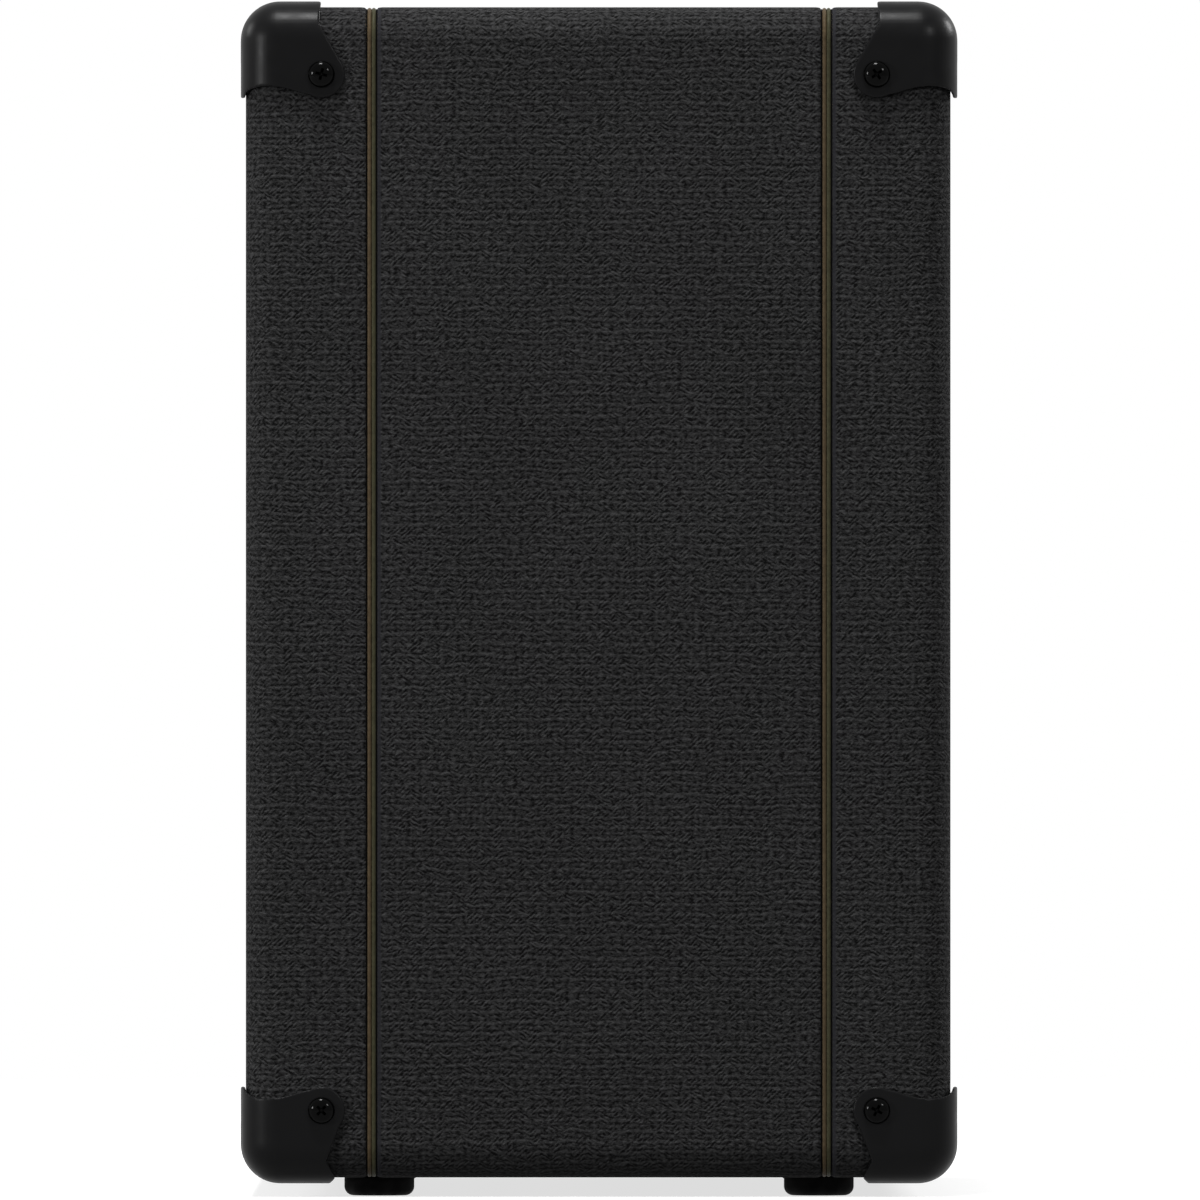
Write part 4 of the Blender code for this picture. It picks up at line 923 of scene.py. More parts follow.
@dataclass(frozen=True)
class WovenVinyl(Finish):
    """Covering embossed like a coarse cloth: ribs along V, stacked along U, in metres.

    Where it is rolled over a groove's edge, at some places along V, it is stretched smooth, with a painted sheen.
    """

    rib_pitch: float = 0.00177
    cross_pitch: float = 0.00207
    depth: float = 0.00020
    # Factors on the colour: painted highlight on the ribs, painted shade in the pits
    light: float = 2.95
    dark: float = 0.18
    rolls: tuple[float, ...] = ()
    # The lighter, bluish painted sheen on the smooth rolled edges
    roll_colour: Colour = (0.0150, 0.0150, 0.0175)

    def build(self, shader: Shader) -> Material:
        """The ribs and the threads across them, wandering as a loose weave does, with painted shade and highlights.

        Args:
            shader: The material's tree, to be filled.

        Returns:
            The finished material.
        """
        flat = shader.place(chart="weave")
        loose = shader.wander(shader.wander(flat, 60.0, 0.0034), 260.0, 0.0020)
        stack, along = shader.parts(shader.wander(loose, 700.0, 0.0008))[:2]
        half_rib = shader.wave(stack, 2 * self.rib_pitch)
        half_cross = shader.wave(along, 2 * self.cross_pitch)
        over = shader.sum("MULTIPLY_ADD", shader.sum("MULTIPLY", half_rib, half_cross), 0.5, 0.5)
        rib = shader.sum("POWER", shader.sum("ABSOLUTE", half_rib), 0.8)
        cross = shader.sum("POWER", shader.sum("ABSOLUTE", half_cross), 0.8)
        rib_height = shader.sum("MULTIPLY", rib, shader.sum("MULTIPLY_ADD", over, 0.48, 0.52))
        cross_height = shader.sum("MULTIPLY", cross, shader.sum("MULTIPLY_ADD", over, -0.52, 0.76))
        cloth = shader.sum("MAXIMUM", rib_height, cross_height)
        pairs = shader.sum("MULTIPLY_ADD", half_rib, 0.10, shader.sum("MULTIPLY_ADD", cloth, 0.78, 0.13))
        streaks = shader.noise(shader.place((1.0, 0.6, 1.0), chart="weave"), 900.0, 2.0, 0.7)
        height = shader.sum("MULTIPLY_ADD", shader.sum("SUBTRACT", streaks, 0.5), 2.3, pairs)
        clusters = shader.noise(flat, 260.0, 2.0)
        for turn, start, end in ((0.75, 0.50, 0.62), (-0.55, 0.46, 0.34)):
            slanted = shader.wander(shader.place(turn=(0.0, 0.0, turn), chart="weave"), 700.0, 0.0010)
            ripple = shader.wave(shader.parts(slanted)[0], 0.00115)
            height = shader.sum("MULTIPLY_ADD", ripple, shader.spread(clusters, start, end, 0.0, 0.33), height)
        # The colour follows the relief: painted shade in the pits, painted highlights on the ribs and slanted
        # ripples
        tone = shader.spread(height, 0.15, 1.25, self.dark, self.light)
        patches = shader.spread(shader.noise(flat, 18.0, 2.0), 0.3, 0.7, 0.92, 1.08)
        colour = shader.scaled(self.colour, shader.sum("MULTIPLY", tone, patches))
        # Each rolled edge loses its relief and takes the lighter, bluish painted sheen
        for roll in self.rolls:
            away = shader.sum("ABSOLUTE", shader.sum("SUBTRACT", shader.parts(flat)[1], roll))
            smooth = shader.spread(away, 0.0006, 0.0010, 0.8, 0.0)
            colour = shader.blend(smooth, colour, self.roll_colour)
            height = shader.sum("MULTIPLY", height, shader.sum("SUBTRACT", 1.0, smooth))
        fine = shader.bump(shader.noise(flat, 5200.0, 2.0), 0.00002, 0.5)
        relief = shader.bump(height, self.depth, 1.0, fine)
        return shader.finish(Base_Color=colour, Roughness=self.roughness, Normal=relief,
                             Specular_IOR_Level=self.specular)


@dataclass(frozen=True)
class Moulding(Finish):
    """Moulded plastic, rubber or paint: a faint skin, handling marks and slow changes of tone."""

    skin: float = 0.00002
    skin_scale: float = 1400.0
    grazing: float = 0.35

    def build(self, shader: Shader) -> Material:
        """A slightly uneven skin under its own gloss.

        Args:
            shader: The material's tree, to be filled.

        Returns:
            The finished material.
        """
        place = shader.place()
        slow = shader.noise(place, 30.0, 3.0)
        smudge = shader.noise(place, 170.0, 4.0, 0.6)
        rough = shader.spread(smudge, 0.3, 0.7, 0.86 * self.roughness, min(1.18 * self.roughness, 1.0))
        grazed = shader.add("ShaderNodeLayerWeight", Blend=self.grazing).outputs["Facing"]
        rough = shader.sum("MAXIMUM", rough, shader.spread(grazed, 0.5, 1.0, 0.0, 1.0))
        skin = shader.noise(place, self.skin_scale, 2.0)
        waves = shader.bump(shader.noise(place, 95.0, 1.0), 4 * self.skin, 0.6)
        return shader.finish(Base_Color=shader.blend(slow, self.shade(0.85), self.shade(1.15)), Roughness=rough,
                             Specular_IOR_Level=self.specular, Normal=shader.bump(skin, self.skin, 0.7, waves))


@dataclass(frozen=True)
class Metal(Finish):
    """Bare or plated metal with a drawn grain along one axis."""

    metallic: float = 1.0
    stretch: tuple[float, float, float] = (1.0, 1.0, 1.0)
    grain: float = 1800.0

    def build(self, shader: Shader) -> Material:
        """Grain in the roughness and relief, and a cloudy tone.

        Args:
            shader: The material's tree, to be filled.

        Returns:
            The finished material.
        """
        lines = shader.noise(shader.place(self.stretch), self.grain, 3.0, 0.6)
        cloud = shader.noise(shader.place(), 60.0, 4.0, 0.6)
        rough = shader.sum("MULTIPLY_ADD", lines, 0.22, self.roughness - 0.11)
        return shader.finish(Base_Color=shader.blend(cloud, self.shade(0.78), self.shade(1.12)), Roughness=rough,
                             Metallic=self.metallic, Normal=shader.bump(lines, 0.00001, 0.5))


@dataclass(frozen=True)
class TwinStrand(Finish):
    """Piping whose two strands differ a little in hue, the rear one also darker as painted shade."""

    second: Colour = (0.032, 0.031, 0.017)
    groove: float = 0.0744

    def build(self, shader: Shader) -> Material:
        """One colour towards the front of each groove, the second towards its rear.

        Args:
            shader: The material's tree, to be filled.

        Returns:
            The finished material.
        """
        place = shader.place()
        depth = shader.parts(place)[1]
        across = shader.sum("SUBTRACT", shader.sum("ABSOLUTE", depth), self.groove)
        rear = shader.spread(shader.sum("MULTIPLY", across, shader.sum("SIGN", depth)), -HAIR, HAIR, 0.0, 1.0)
        tone = shader.spread(shader.noise(place, 900.0, 3.0), 0.3, 0.7, 0.75, 1.25)
        # The rear strand's colour is olive and darker; its darkness is painted shade
        paint = shader.scaled(shader.blend(rear, self.colour, self.second), tone)
        return shader.finish(Base_Color=paint, Roughness=self.roughness, Specular_IOR_Level=self.specular,
                             Normal=shader.bump(shader.noise(place, 2600.0, 2.0), 0.00005, 0.7))


@dataclass(frozen=True)
class Wood(Finish):
    """Bare board, its grain drawn out along one axis, painted black in front of some depth."""

    stretch: tuple[float, float, float] = (0.08, 1.0, 1.0)
    painted: float = -1.0

    def build(self, shader: Shader) -> Material:
        """Growth bands, pores and slow colour changes.

        Args:
            shader: The material's tree, to be filled.

        Returns:
            The finished material.
        """
        drawn = shader.place(self.stretch)
        bands = shader.noise(drawn, 70.0, 4.0, 0.6, 1.2)
        pores = shader.noise(drawn, 900.0, 3.0, 0.7)
        deep = shader.spread(bands, 0.35, 0.68, 0.0, 1.0)
        colour = shader.blend(deep, self.shade(1.15), self.shade(0.68))
        fine = shader.spread(pores, 0.55, 0.75, 0.0, 0.5)
        colour = shader.blend(fine, colour, self.shade(0.45))
        front = shader.spread(shader.parts(shader.place())[1], self.painted, self.painted + HAIR, 1.0, 0.0)
        colour = shader.blend(front, colour, (0.004, 0.004, 0.004))
        return shader.finish(Base_Color=colour, Roughness=shader.spread(pores, 0.3, 0.7, 0.62, 0.82),
                             Specular_IOR_Level=0.2, Normal=shader.bump(pores, 0.00012, 0.6))


@dataclass(frozen=True)
class Cloth(Finish):
    """Plainly woven cloth on the object's X and Z, or Y, with lighter and darker threads and painted shade between
    them.
    """

    pitch: float = 0.0011
    fleck: Colour = (0.11, 0.095, 0.07)
    flecks: float = 0.36

    def build(self, shader: Shader) -> Material:
        """Over and under threads, with some of a second colour.

        Args:
            shader: The material's tree, to be filled.

        Returns:
            The finished material.
        """
        place = shader.place()
        across, _, up = shader.parts(shader.wander(place, 160.0, 0.0006))
        weft, warp = shader.wave(across, 2 * self.pitch), shader.wave(up, 2 * self.pitch)
        over = shader.sum("MULTIPLY_ADD", shader.sum("MULTIPLY", weft, warp), 0.5, 0.5)
        first = shader.sum("MULTIPLY", shader.sum("ABSOLUTE", weft), over)
        second = shader.sum("MULTIPLY", shader.sum("ABSOLUTE", warp), shader.sum("SUBTRACT", 1.0, over))
        height = shader.sum("MAXIMUM", first, second)
        lights = []
        for stretch, thread in (((0.3, 1.0, 1.0), second), ((1.0, 1.0, 0.3), first)):
            chance = shader.noise(shader.place(stretch), 800.0, 1.0)
            chosen = shader.spread(chance, 0.94 - self.flecks, 1.02 - self.flecks, 0.0, 1.0)
            lights.append(shader.sum("MULTIPLY", chosen, shader.spread(thread, 0.1, 0.4, 0.0, 1.0)))
        thread = shader.blend(shader.sum("MAXIMUM", *lights), self.colour, self.fleck)
        # Painted shade: the colour darkens to a quarter where the threads dip
        threads_with_painted_shade = shader.blend(shader.spread(height, 0.05, 0.7, 0.0, 1.0), self.shade(0.25), thread)
        return shader.finish(Base_Color=threads_with_painted_shade, Roughness=self.roughness, Specular_IOR_Level=self.specular,
                             Sheen_Weight=0.15, Normal=shader.bump(height, 0.00030))


@dataclass(frozen=True)
class Paper(Finish):
    """Pressed pulp with fibres in it."""

    def build(self, shader: Shader) -> Material:
        """Short fibres in the tone and relief.

        Args:
            shader: The material's tree, to be filled.

        Returns:
            The finished material.
        """
        place = shader.place()
        fibres = shader.noise(place, 1500.0, 5.0, 0.7, 2.0)
        cloud = shader.noise(place, 90.0, 3.0)
        colour = shader.blend(cloud, self.shade(0.8), self.shade(1.25))
        flecked = shader.blend(shader.spread(fibres, 0.62, 0.72, 0.0, 0.35), colour, self.shade(3.0))
        return shader.finish(Base_Color=flecked, Roughness=self.roughness, Normal=shader.bump(fibres, 0.00010, 0.7))


@dataclass(frozen=True)
class Jewel(Finish):
    """Clear coloured plastic."""

    def build(self, shader: Shader) -> Material:
        """Light passes through it and picks up its colour unevenly.

        Args:
            shader: The material's tree, to be filled.

        Returns:
            The finished material.
        """
        depth = shader.noise(shader.place(), 300.0, 2.0)
        return shader.finish(Base_Color=shader.blend(depth, self.shade(0.7), self.shade(1.3)),
                             Roughness=self.roughness, Transmission_Weight=0.35)


BOARD_VINYL = WovenVinyl("board vinyl", (0.0124, 0.0124, 0.0126), roughness=0.8, specular=0.03)
VINYL = replace(BOARD_VINYL, name="woven vinyl", rolls=(-0.0717, 0.0771))
BARE_WOOD = Wood("bare plywood", (0.46, 0.33, 0.20))
BAFFLE_WOOD = replace(BARE_WOOD, name="painted baffle", painted=NodeBox.of("baffle_board").high.y - 0.0004)
SIDE_WOOD = replace(BARE_WOOD, name="bare plywood upright", stretch=(1.0, 1.0, 0.08))
# The covering tucked into the grooves, coloured far darker than the vinyl as painted shade
GROOVE_PAINTED_SHADE = Moulding("groove lining", (0.002, 0.002, 0.002), roughness=0.8, specular=0.02)
GOLD_STRAND = TwinStrand("gold piping", (0.050, 0.036, 0.020), roughness=0.50, specular=0.05)
CORNER_BLACK = Moulding("corner moulding", (0.0036, 0.0036, 0.0038), roughness=0.34, specular=0.055, skin=0.000010)
SCREW_BLACK = Moulding("black screw", (0.0008, 0.0008, 0.0008), roughness=0.09, specular=0.04, skin=0.000003)
RUBBER = Moulding("rubber", (0.006, 0.006, 0.006), roughness=0.80, specular=0.1, skin=0.00004, skin_scale=900.0)
GRILLE_CLOTH = Cloth("grille cloth", (0.018, 0.017, 0.016), roughness=0.85, specular=0.2)
PANEL_BLACK = Moulding("panel paint", (0.010, 0.010, 0.011), roughness=0.42, specular=0.12, skin=0.000015)
PANEL_INK = Moulding("panel ink", (0.62, 0.60, 0.55), roughness=0.55, skin=0.000004)
ZINC = Metal("zinc plate", (0.44, 0.44, 0.43), roughness=0.40, stretch=(0.05, 1.0, 1.0))
NICKEL = Metal("nickel plate", (0.52, 0.51, 0.48), roughness=0.24)
ALUMINIUM = Metal("extruded aluminium", (0.42, 0.42, 0.43), roughness=0.42, stretch=(1.0, 0.05, 1.0))
LACQUER = Moulding("circuit lacquer", (0.035, 0.11, 0.05), roughness=0.42, skin=0.00001)
KNOB_BLACK = Moulding("knob moulding", (0.006, 0.006, 0.006), roughness=0.28, specular=0.25, skin=0.000008)
SOCKET_BLACK = Moulding("socket moulding", (0.008, 0.008, 0.008), roughness=0.48, specular=0.2, skin=0.00001)
LENS_RED = Jewel("red lens", (0.60, 0.020, 0.015), roughness=0.12)
CORE_STEEL = Metal("core steel", (0.14, 0.13, 0.13), roughness=0.48, metallic=0.8, stretch=(1.0, 1.0, 0.1))
TAPE = Moulding("winding tape", (0.30, 0.20, 0.035), roughness=0.40, skin=0.00002)
BASKET_PAINT = Moulding("basket paint", (0.022, 0.022, 0.024), roughness=0.40, skin=0.00003, skin_scale=700.0)
FERRITE = Moulding("ferrite", (0.045, 0.045, 0.048), roughness=0.66, skin=0.00005, skin_scale=1100.0)
PULP = Paper("cone pulp", (0.024, 0.023, 0.022), roughness=0.85)
IMPREGNATED = Cloth("spider cloth", (0.38, 0.22, 0.08), roughness=0.80, pitch=0.0007,
                    fleck=(0.50, 0.32, 0.13), flecks=0.5)
HANDLE_BLACK = Moulding("handle moulding", (0.007, 0.007, 0.007), roughness=0.58, specular=0.08,
                        skin=0.00004, skin_scale=1800.0)


def dressed(piece: Piece, finish: Finish) -> Piece:
    """Give a piece one finish all over.

    Args:
        piece: The piece.
        finish: Its finish.

    Returns:
        The same piece.
    """
    piece.data.materials.clear()
    piece.data.materials.append(finish.material())
    return piece


def fit(piece: Piece, finish: Finish, nodes: Iterable[str] = (), body: str = "root") -> Piece:
    """Dress a finished piece and hang it on the model.

    Args:
        piece: The piece, its place in its mesh.
        finish: Its finish.
        nodes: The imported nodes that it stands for.
        body: The body that it moves with.

    Returns:
        The same piece.
    """
    dressed(piece, finish)
    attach(piece, body)
    if nodes:
        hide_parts(*nodes)
    LOG.info("%s on %s", piece.name, body)
    return piece


def keep(finish: Finish, *nodes: str) -> None:
    """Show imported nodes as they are, in a finish.

    Args:
        finish: Their finish.
        nodes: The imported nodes' names.
    """
    for node in nodes:
        dressed(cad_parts[node], finish)
        LOG.info("%s kept", node)


# Sub-assemblies


@dataclass(frozen=True)
class Body(NodeBox):
    """The covered cabinet's outside."""

    edge_round: float = 0.011
    vinyl: float = 0.0008
    corner_wall: float = 0.0016

    @property
    def middle(self) -> float:
        """The height of its middle."""
        return (self.low.z + self.high.z) / 2

    @property
    def proud(self) -> float:
        """How far its corner protectors stand out."""
        return GAP + self.corner_wall

    def outline(self, inset: float) -> list[Point2]:
        """The body seen from the front, some way in from its covering."""
        bend = max(self.edge_round - inset, 0.0003)
        return rounded_rectangle(self.size.x - 2 * inset, self.size.z - 2 * inset, bend, (0.0, self.middle), 14)


BODY = Body(NodeBox.of("vinyl_front_band").low, NodeBox.of("vinyl_rear_band").high)


@dataclass
class CornerProtectors:
    """The eight moulded corners, trimmed from a thin shell over the cabinet's rounded corner."""

    reach: tuple[float, float] = (0.0265, 0.0312)
    taper: tuple[float, float] = (0.0005, 0.0030)
    chamfer: tuple[float, float] = (0.0003, 0.0018)
    across_top: float = 0.024
    across_front: float = 0.013
    drop: float = 0.0317
    cut: float = 0.009
    shoulder: float = 0.0075
    lobe_radius: float = 0.0077
    screw: Point2 = (0.0267, 0.0240)
    edge: tuple[Point2, ...] = ((0.0198, 0.0301), (0.0165, 0.0290), (0.0131, 0.0282), (0.0100, 0.0279),
                                (0.0068, 0.0280), (0.0048, 0.0284), (0.0031, 0.0291), (0.0022, 0.0299),
                                (0.0018, 0.0309), (0.0016, 0.0317))
    past: float = 0.004
    voxel: float = 0.00032

    def core(self, inset: float) -> Piece:
        """The cabinet as a block with every edge rounded, some way in from the covering.

        Args:
            inset: How far in the block's faces lie.

        Returns:
            The block.
        """
        core = block("corner_core", [length - 2 * inset for length in BODY.size], (0.0, 0.0, BODY.middle))
        bevel = core.modifiers.new("round", "BEVEL")
        bevel.width = BODY.edge_round - inset
        bevel.segments = 14
        return baked(core)

    def pattern(self, level: Level) -> Piece:
        """The corner at the right front, at the top or the bottom.

        Args:
            level: Whether it is the upper or the lower form.

        Returns:
            The corner.
        """
        sign, past, cut, drop, wide = level.value, self.past, self.cut, self.drop, self.across_top
        reach, taper, chamfer = (sizes[level is Level.BOTTOM] for sizes in (self.reach, self.taper, self.chamfer))
        side = BODY.high.x + BODY.proud
        face = BODY.low.y - BODY.proud
        end = BODY.middle + sign * (BODY.size.z / 2 + BODY.proud)
        flap = [(-past, -past), (reach - chamfer, -past), (reach - chamfer, 0.0), (reach, chamfer),
                (reach - taper, self.shoulder)]
        flap += arc(self.screw, self.lobe_radius, -38, 118, 24) + list(self.edge)
        flap += [(0.0, drop), (-past, drop)]
        shell = slab(f"corner_pattern_{level.name}", [[(face + depth, end - sign * fall) for depth, fall in flap]],
                     side - wide - past, side + past, Facing.ACROSS)
        back = reach + cut
        top = [(-past, -past), (wide, -past), (wide, reach - cut), (wide - 2 * cut, back), (-past, back)]
        above = slab("corner_from_above", [[(side - across, face + depth) for across, depth in top]],
                     end - drop - past, end + drop + past, Facing.HEIGHT)
        bend = BODY.edge_round + BODY.proud + GAP
        front = [(-past, -past), (wide, -past), (wide, bend), (self.across_front, bend + self.shoulder),
                 (self.across_front, drop + past), (-past, drop + past)]
        ahead = slab("corner_from_front", [[(side - across, end - sign * fall) for across, fall in front]],
                     face - past, face + back + past, Facing.DEPTH)
        shell = combined(shell, "INTERSECT", self.core(-BODY.proud), above, ahead)
        return self.softened(combined(shell, "DIFFERENCE", self.core(-GAP)))

    def softened(self, shell: Piece) -> Piece:
        """Round every edge of a shell a little, as a mould does.

        Args:
            shell: The shell.

        Returns:
            The shell with its edges rounded.
        """
        remesh = shell.modifiers.new("even", "REMESH")
        remesh.mode = "VOXEL"
        remesh.voxel_size = self.voxel
        smooth = shell.modifiers.new("soft", "SMOOTH")
        smooth.factor = 0.5
        smooth.iterations = 10
        fewer = shell.modifiers.new("fewer", "DECIMATE")
        fewer.ratio = 0.34
        return baked(shell, 180.0)

    def build(self) -> None:
        """Make the eight corners, each a mirror of the pattern at its level."""
        for level in Level:
            pattern = self.pattern(level)
            for edge, side in product(Edge, Side):
                node = f"corner_{edge.name}_{side.name}_{level.name}".lower()
                axes = (1,) * (edge is Edge.REAR) + (0,) * (side is Side.LEFT)
                corner = mirrored(pattern, f"{node}_moulding", axes)
                soften(corner.data, 180.0)
                fit(corner, CORNER_BLACK, [node])
            bpy.data.objects.remove(pattern)


@dataclass
class Covering:
    """The vinyl: a band over the front edges, one round the middle and one over the rear edges."""

    turn_in: float = 0.0172
    turn_in_depth: float = 0.0227
    turn_in_round: float = 0.0007
    rebate: float = 0.0092

    def band(self, name: str, profile: Sequence[Point2], toward: Edge) -> Piece:
        """Wrap a profile round the cabinet and lay the weave's map along it.

        Args:
            name: The new object's name.
            profile: Points as (distance in from the covering, depth), starting at a groove.
            toward: The way that the weave's map runs from the first point.

        Returns:
            The band, closed on its inside.
        """
        rings = [BODY.outline(inset) for inset, _ in profile]
        travel = [0.0]
        outer = BODY.outline(0.0)
        for here, there in zip(outer, outer[1:] + outer[:1]):
            travel.append(travel[-1] + dist(here, there))
        ways = [(Vector(there) - Vector(here)).normalized()
                for here, there in zip(outer[-1:] + outer[:-1], outer[1:] + outer[:1])]
        drift = [[way.dot(Vector(point) - Vector(start)) for point, start, way in zip(ring, outer, ways)]
                 for ring in rings]
        chart_place = [profile[0][1]]
        for here, there in zip(profile, profile[1:] + profile[:1]):
            chart_place.append(chart_place[-1] + toward.value * dist(here, there))
        solid = bmesh.new()
        chart = solid.loops.layers.uv.new("weave")
        rows = [[solid.verts.new((x, depth, z)) for x, z in ring] for ring, (_, depth) in zip(rings, profile)]
        count = len(outer)
        for row, index in product(range(len(rows)), range(count)):
            corners = ((row, index), (row, index + 1), (row + 1, index + 1), (row + 1, index))
            face = solid.faces.new([rows[ring % len(rows)][place % count] for ring, place in corners])
            for loop, (ring, place) in zip(face.loops, corners):
                slid = drift[ring % len(rows)][place % count]
                loop[chart].uv = (travel[place] + slid, chart_place[ring])
        bmesh.ops.recalc_face_normals(solid, faces=solid.faces)
        return from_solid(name, solid)

    def outer_face(self, groove: float, end: float) -> list[Point2]:
        """The profile from the foot of a groove, over its lip and along to the far end's rounding.

        Args:
            groove: The depth at which the groove lies.
            end: The far end's depth.

        Returns:
            The profile's points.
        """
        away = 1 if end > groove else -1
        lip = [(BODY.vinyl, 0.0), (0.00050, 0.0), (0.00028, 0.00016), (0.00012, 0.00050), (0.00004, 0.0011),
               (0.0, 0.0018)]
        return [(inset, groove + away * along) for inset, along in lip]

    def turned_edge(self, edge: Edge, inset: float, until: float) -> list[Point2]:
        """The profile over the front or rear edge.

        Args:
            edge: Which of the two.
            inset: How far in from the covering's surface it runs.
            until: How far from the side it ends, where that is short of a full quarter round.

        Returns:
            Points as (distance in from the covering, depth).
        """
        bend, radius = BODY.edge_round, BODY.edge_round - inset
        face = (BODY.low if edge is Edge.FRONT else BODY.high).y
        last = degrees(acos(min(0.0, (until - bend) / radius)))
        return [(across, face - edge.value * (bend - along))
                for across, along in arc((bend, 0.0), radius, 180, last, 14)]

    def build(self) -> None:
        """Make the three bands and let the handle into the middle one."""
        bands = [NodeBox.of(f"vinyl_{name}_band") for name in ("front", "centre", "rear")]
        grooves = [bands[0].high.y, bands[1].low.y, bands[1].high.y, bands[2].low.y]
        front, rear, vinyl, lip = BODY.low.y, BODY.high.y, BODY.vinyl, self.turn_in_round
        deep, end = front + self.turn_in_depth, self.turn_in
        profile = self.outer_face(grooves[0], front) + self.turned_edge(Edge.FRONT, 0.0, end)
        profile += [(end - lip, front), (end - lip / 3, front + lip / 3), (end, front + lip), (end, deep),
                    (end - vinyl, deep), (end - vinyl, front + vinyl)]
        profile += reversed(self.turned_edge(Edge.FRONT, vinyl, end))
        fit(self.band("front_covering", profile, Edge.FRONT), VINYL, ["vinyl_front_band"])
        profile = self.outer_face(grooves[1], rear)
        profile += reversed(self.outer_face(grooves[2], front))
        centre = self.band("centre_covering", profile, Edge.REAR)
        profile = self.outer_face(grooves[3], rear) + self.turned_edge(Edge.REAR, 0.0, self.rebate)
        profile += reversed(self.turned_edge(Edge.REAR, vinyl, self.rebate))
        fit(self.band("rear_covering", profile, Edge.REAR), VINYL, ["vinyl_rear_band"])
        flange = NodeBox.of("handle_dish")
        window = rounded_rectangle(flange.size.x + 2 * GAP, flange.size.y + 2 * GAP, 0.018 + GAP)
        hole = slab("handle_window", [window], BODY.high.z - 0.005, BODY.high.z + 0.005, Facing.HEIGHT)
        fit(combined(centre, "DIFFERENCE", hole), VINYL, ["vinyl_centre_band"])


@dataclass
class Piping:
    """Two gold strands side by side in each groove."""

    strand: float = 0.0014
    sunk: float = 0.0002
    groove: Point2 = (0.0038, 0.0019)
    lining: Point2 = (0.0004, 0.0002)
    lining_top: float = 0.0006

    def trough(self, node: str, depth: float) -> Piece:
        """The covering's edges tucked down the groove and under the strands.

        Args:
            node: The piping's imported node.
            depth: The groove's place in depth.

        Returns:
            The lining.
        """
        wall, floor = self.lining
        across, foot, top = self.groove[0] / 2 - HAIR, self.groove[1] - HAIR, self.lining_top
        half = [(top, across - wall), (foot - floor, across - wall)]
        outside = [(foot, across), (top, across)]
        left, right = ([(inset, depth + side * aside) for inset, aside in half + outside] for side in (-1, 1))
        profile = left[:2] + right[1::-1] + right[:1:-1] + left[2:]
        rings = [[Vector((x, along, z)) for x, z in BODY.outline(inset)] for inset, along in profile]
        return loft(f"{node}_trough", rings, closed=True)

    def build(self) -> None:
        """Line the grooves and sweep the strands round the cabinet."""
        tree = strand_tree()
        for node in ("piping_front", "piping_rear"):
            depth = NodeBox.of(node).centre.y
            # The lining carries painted shade down each groove
            fit(self.trough(node, depth), GROOVE_PAINTED_SHADE)
            outline = BODY.outline(self.sunk + self.strand / 2)
            mesh = bpy.data.meshes.new(node)
            count = len(outline)
            mesh.from_pydata([(x, depth, z) for x, z in outline],
                             [(index, (index + 1) % count) for index in range(count)], [])
            ring = tree.run(f"{node}_strands", new_piece(node, mesh), GOLD_STRAND.material(),
                            Strand_radius=self.strand / 2, Spread=self.strand / 2)
            fit(ring, GOLD_STRAND, [node])


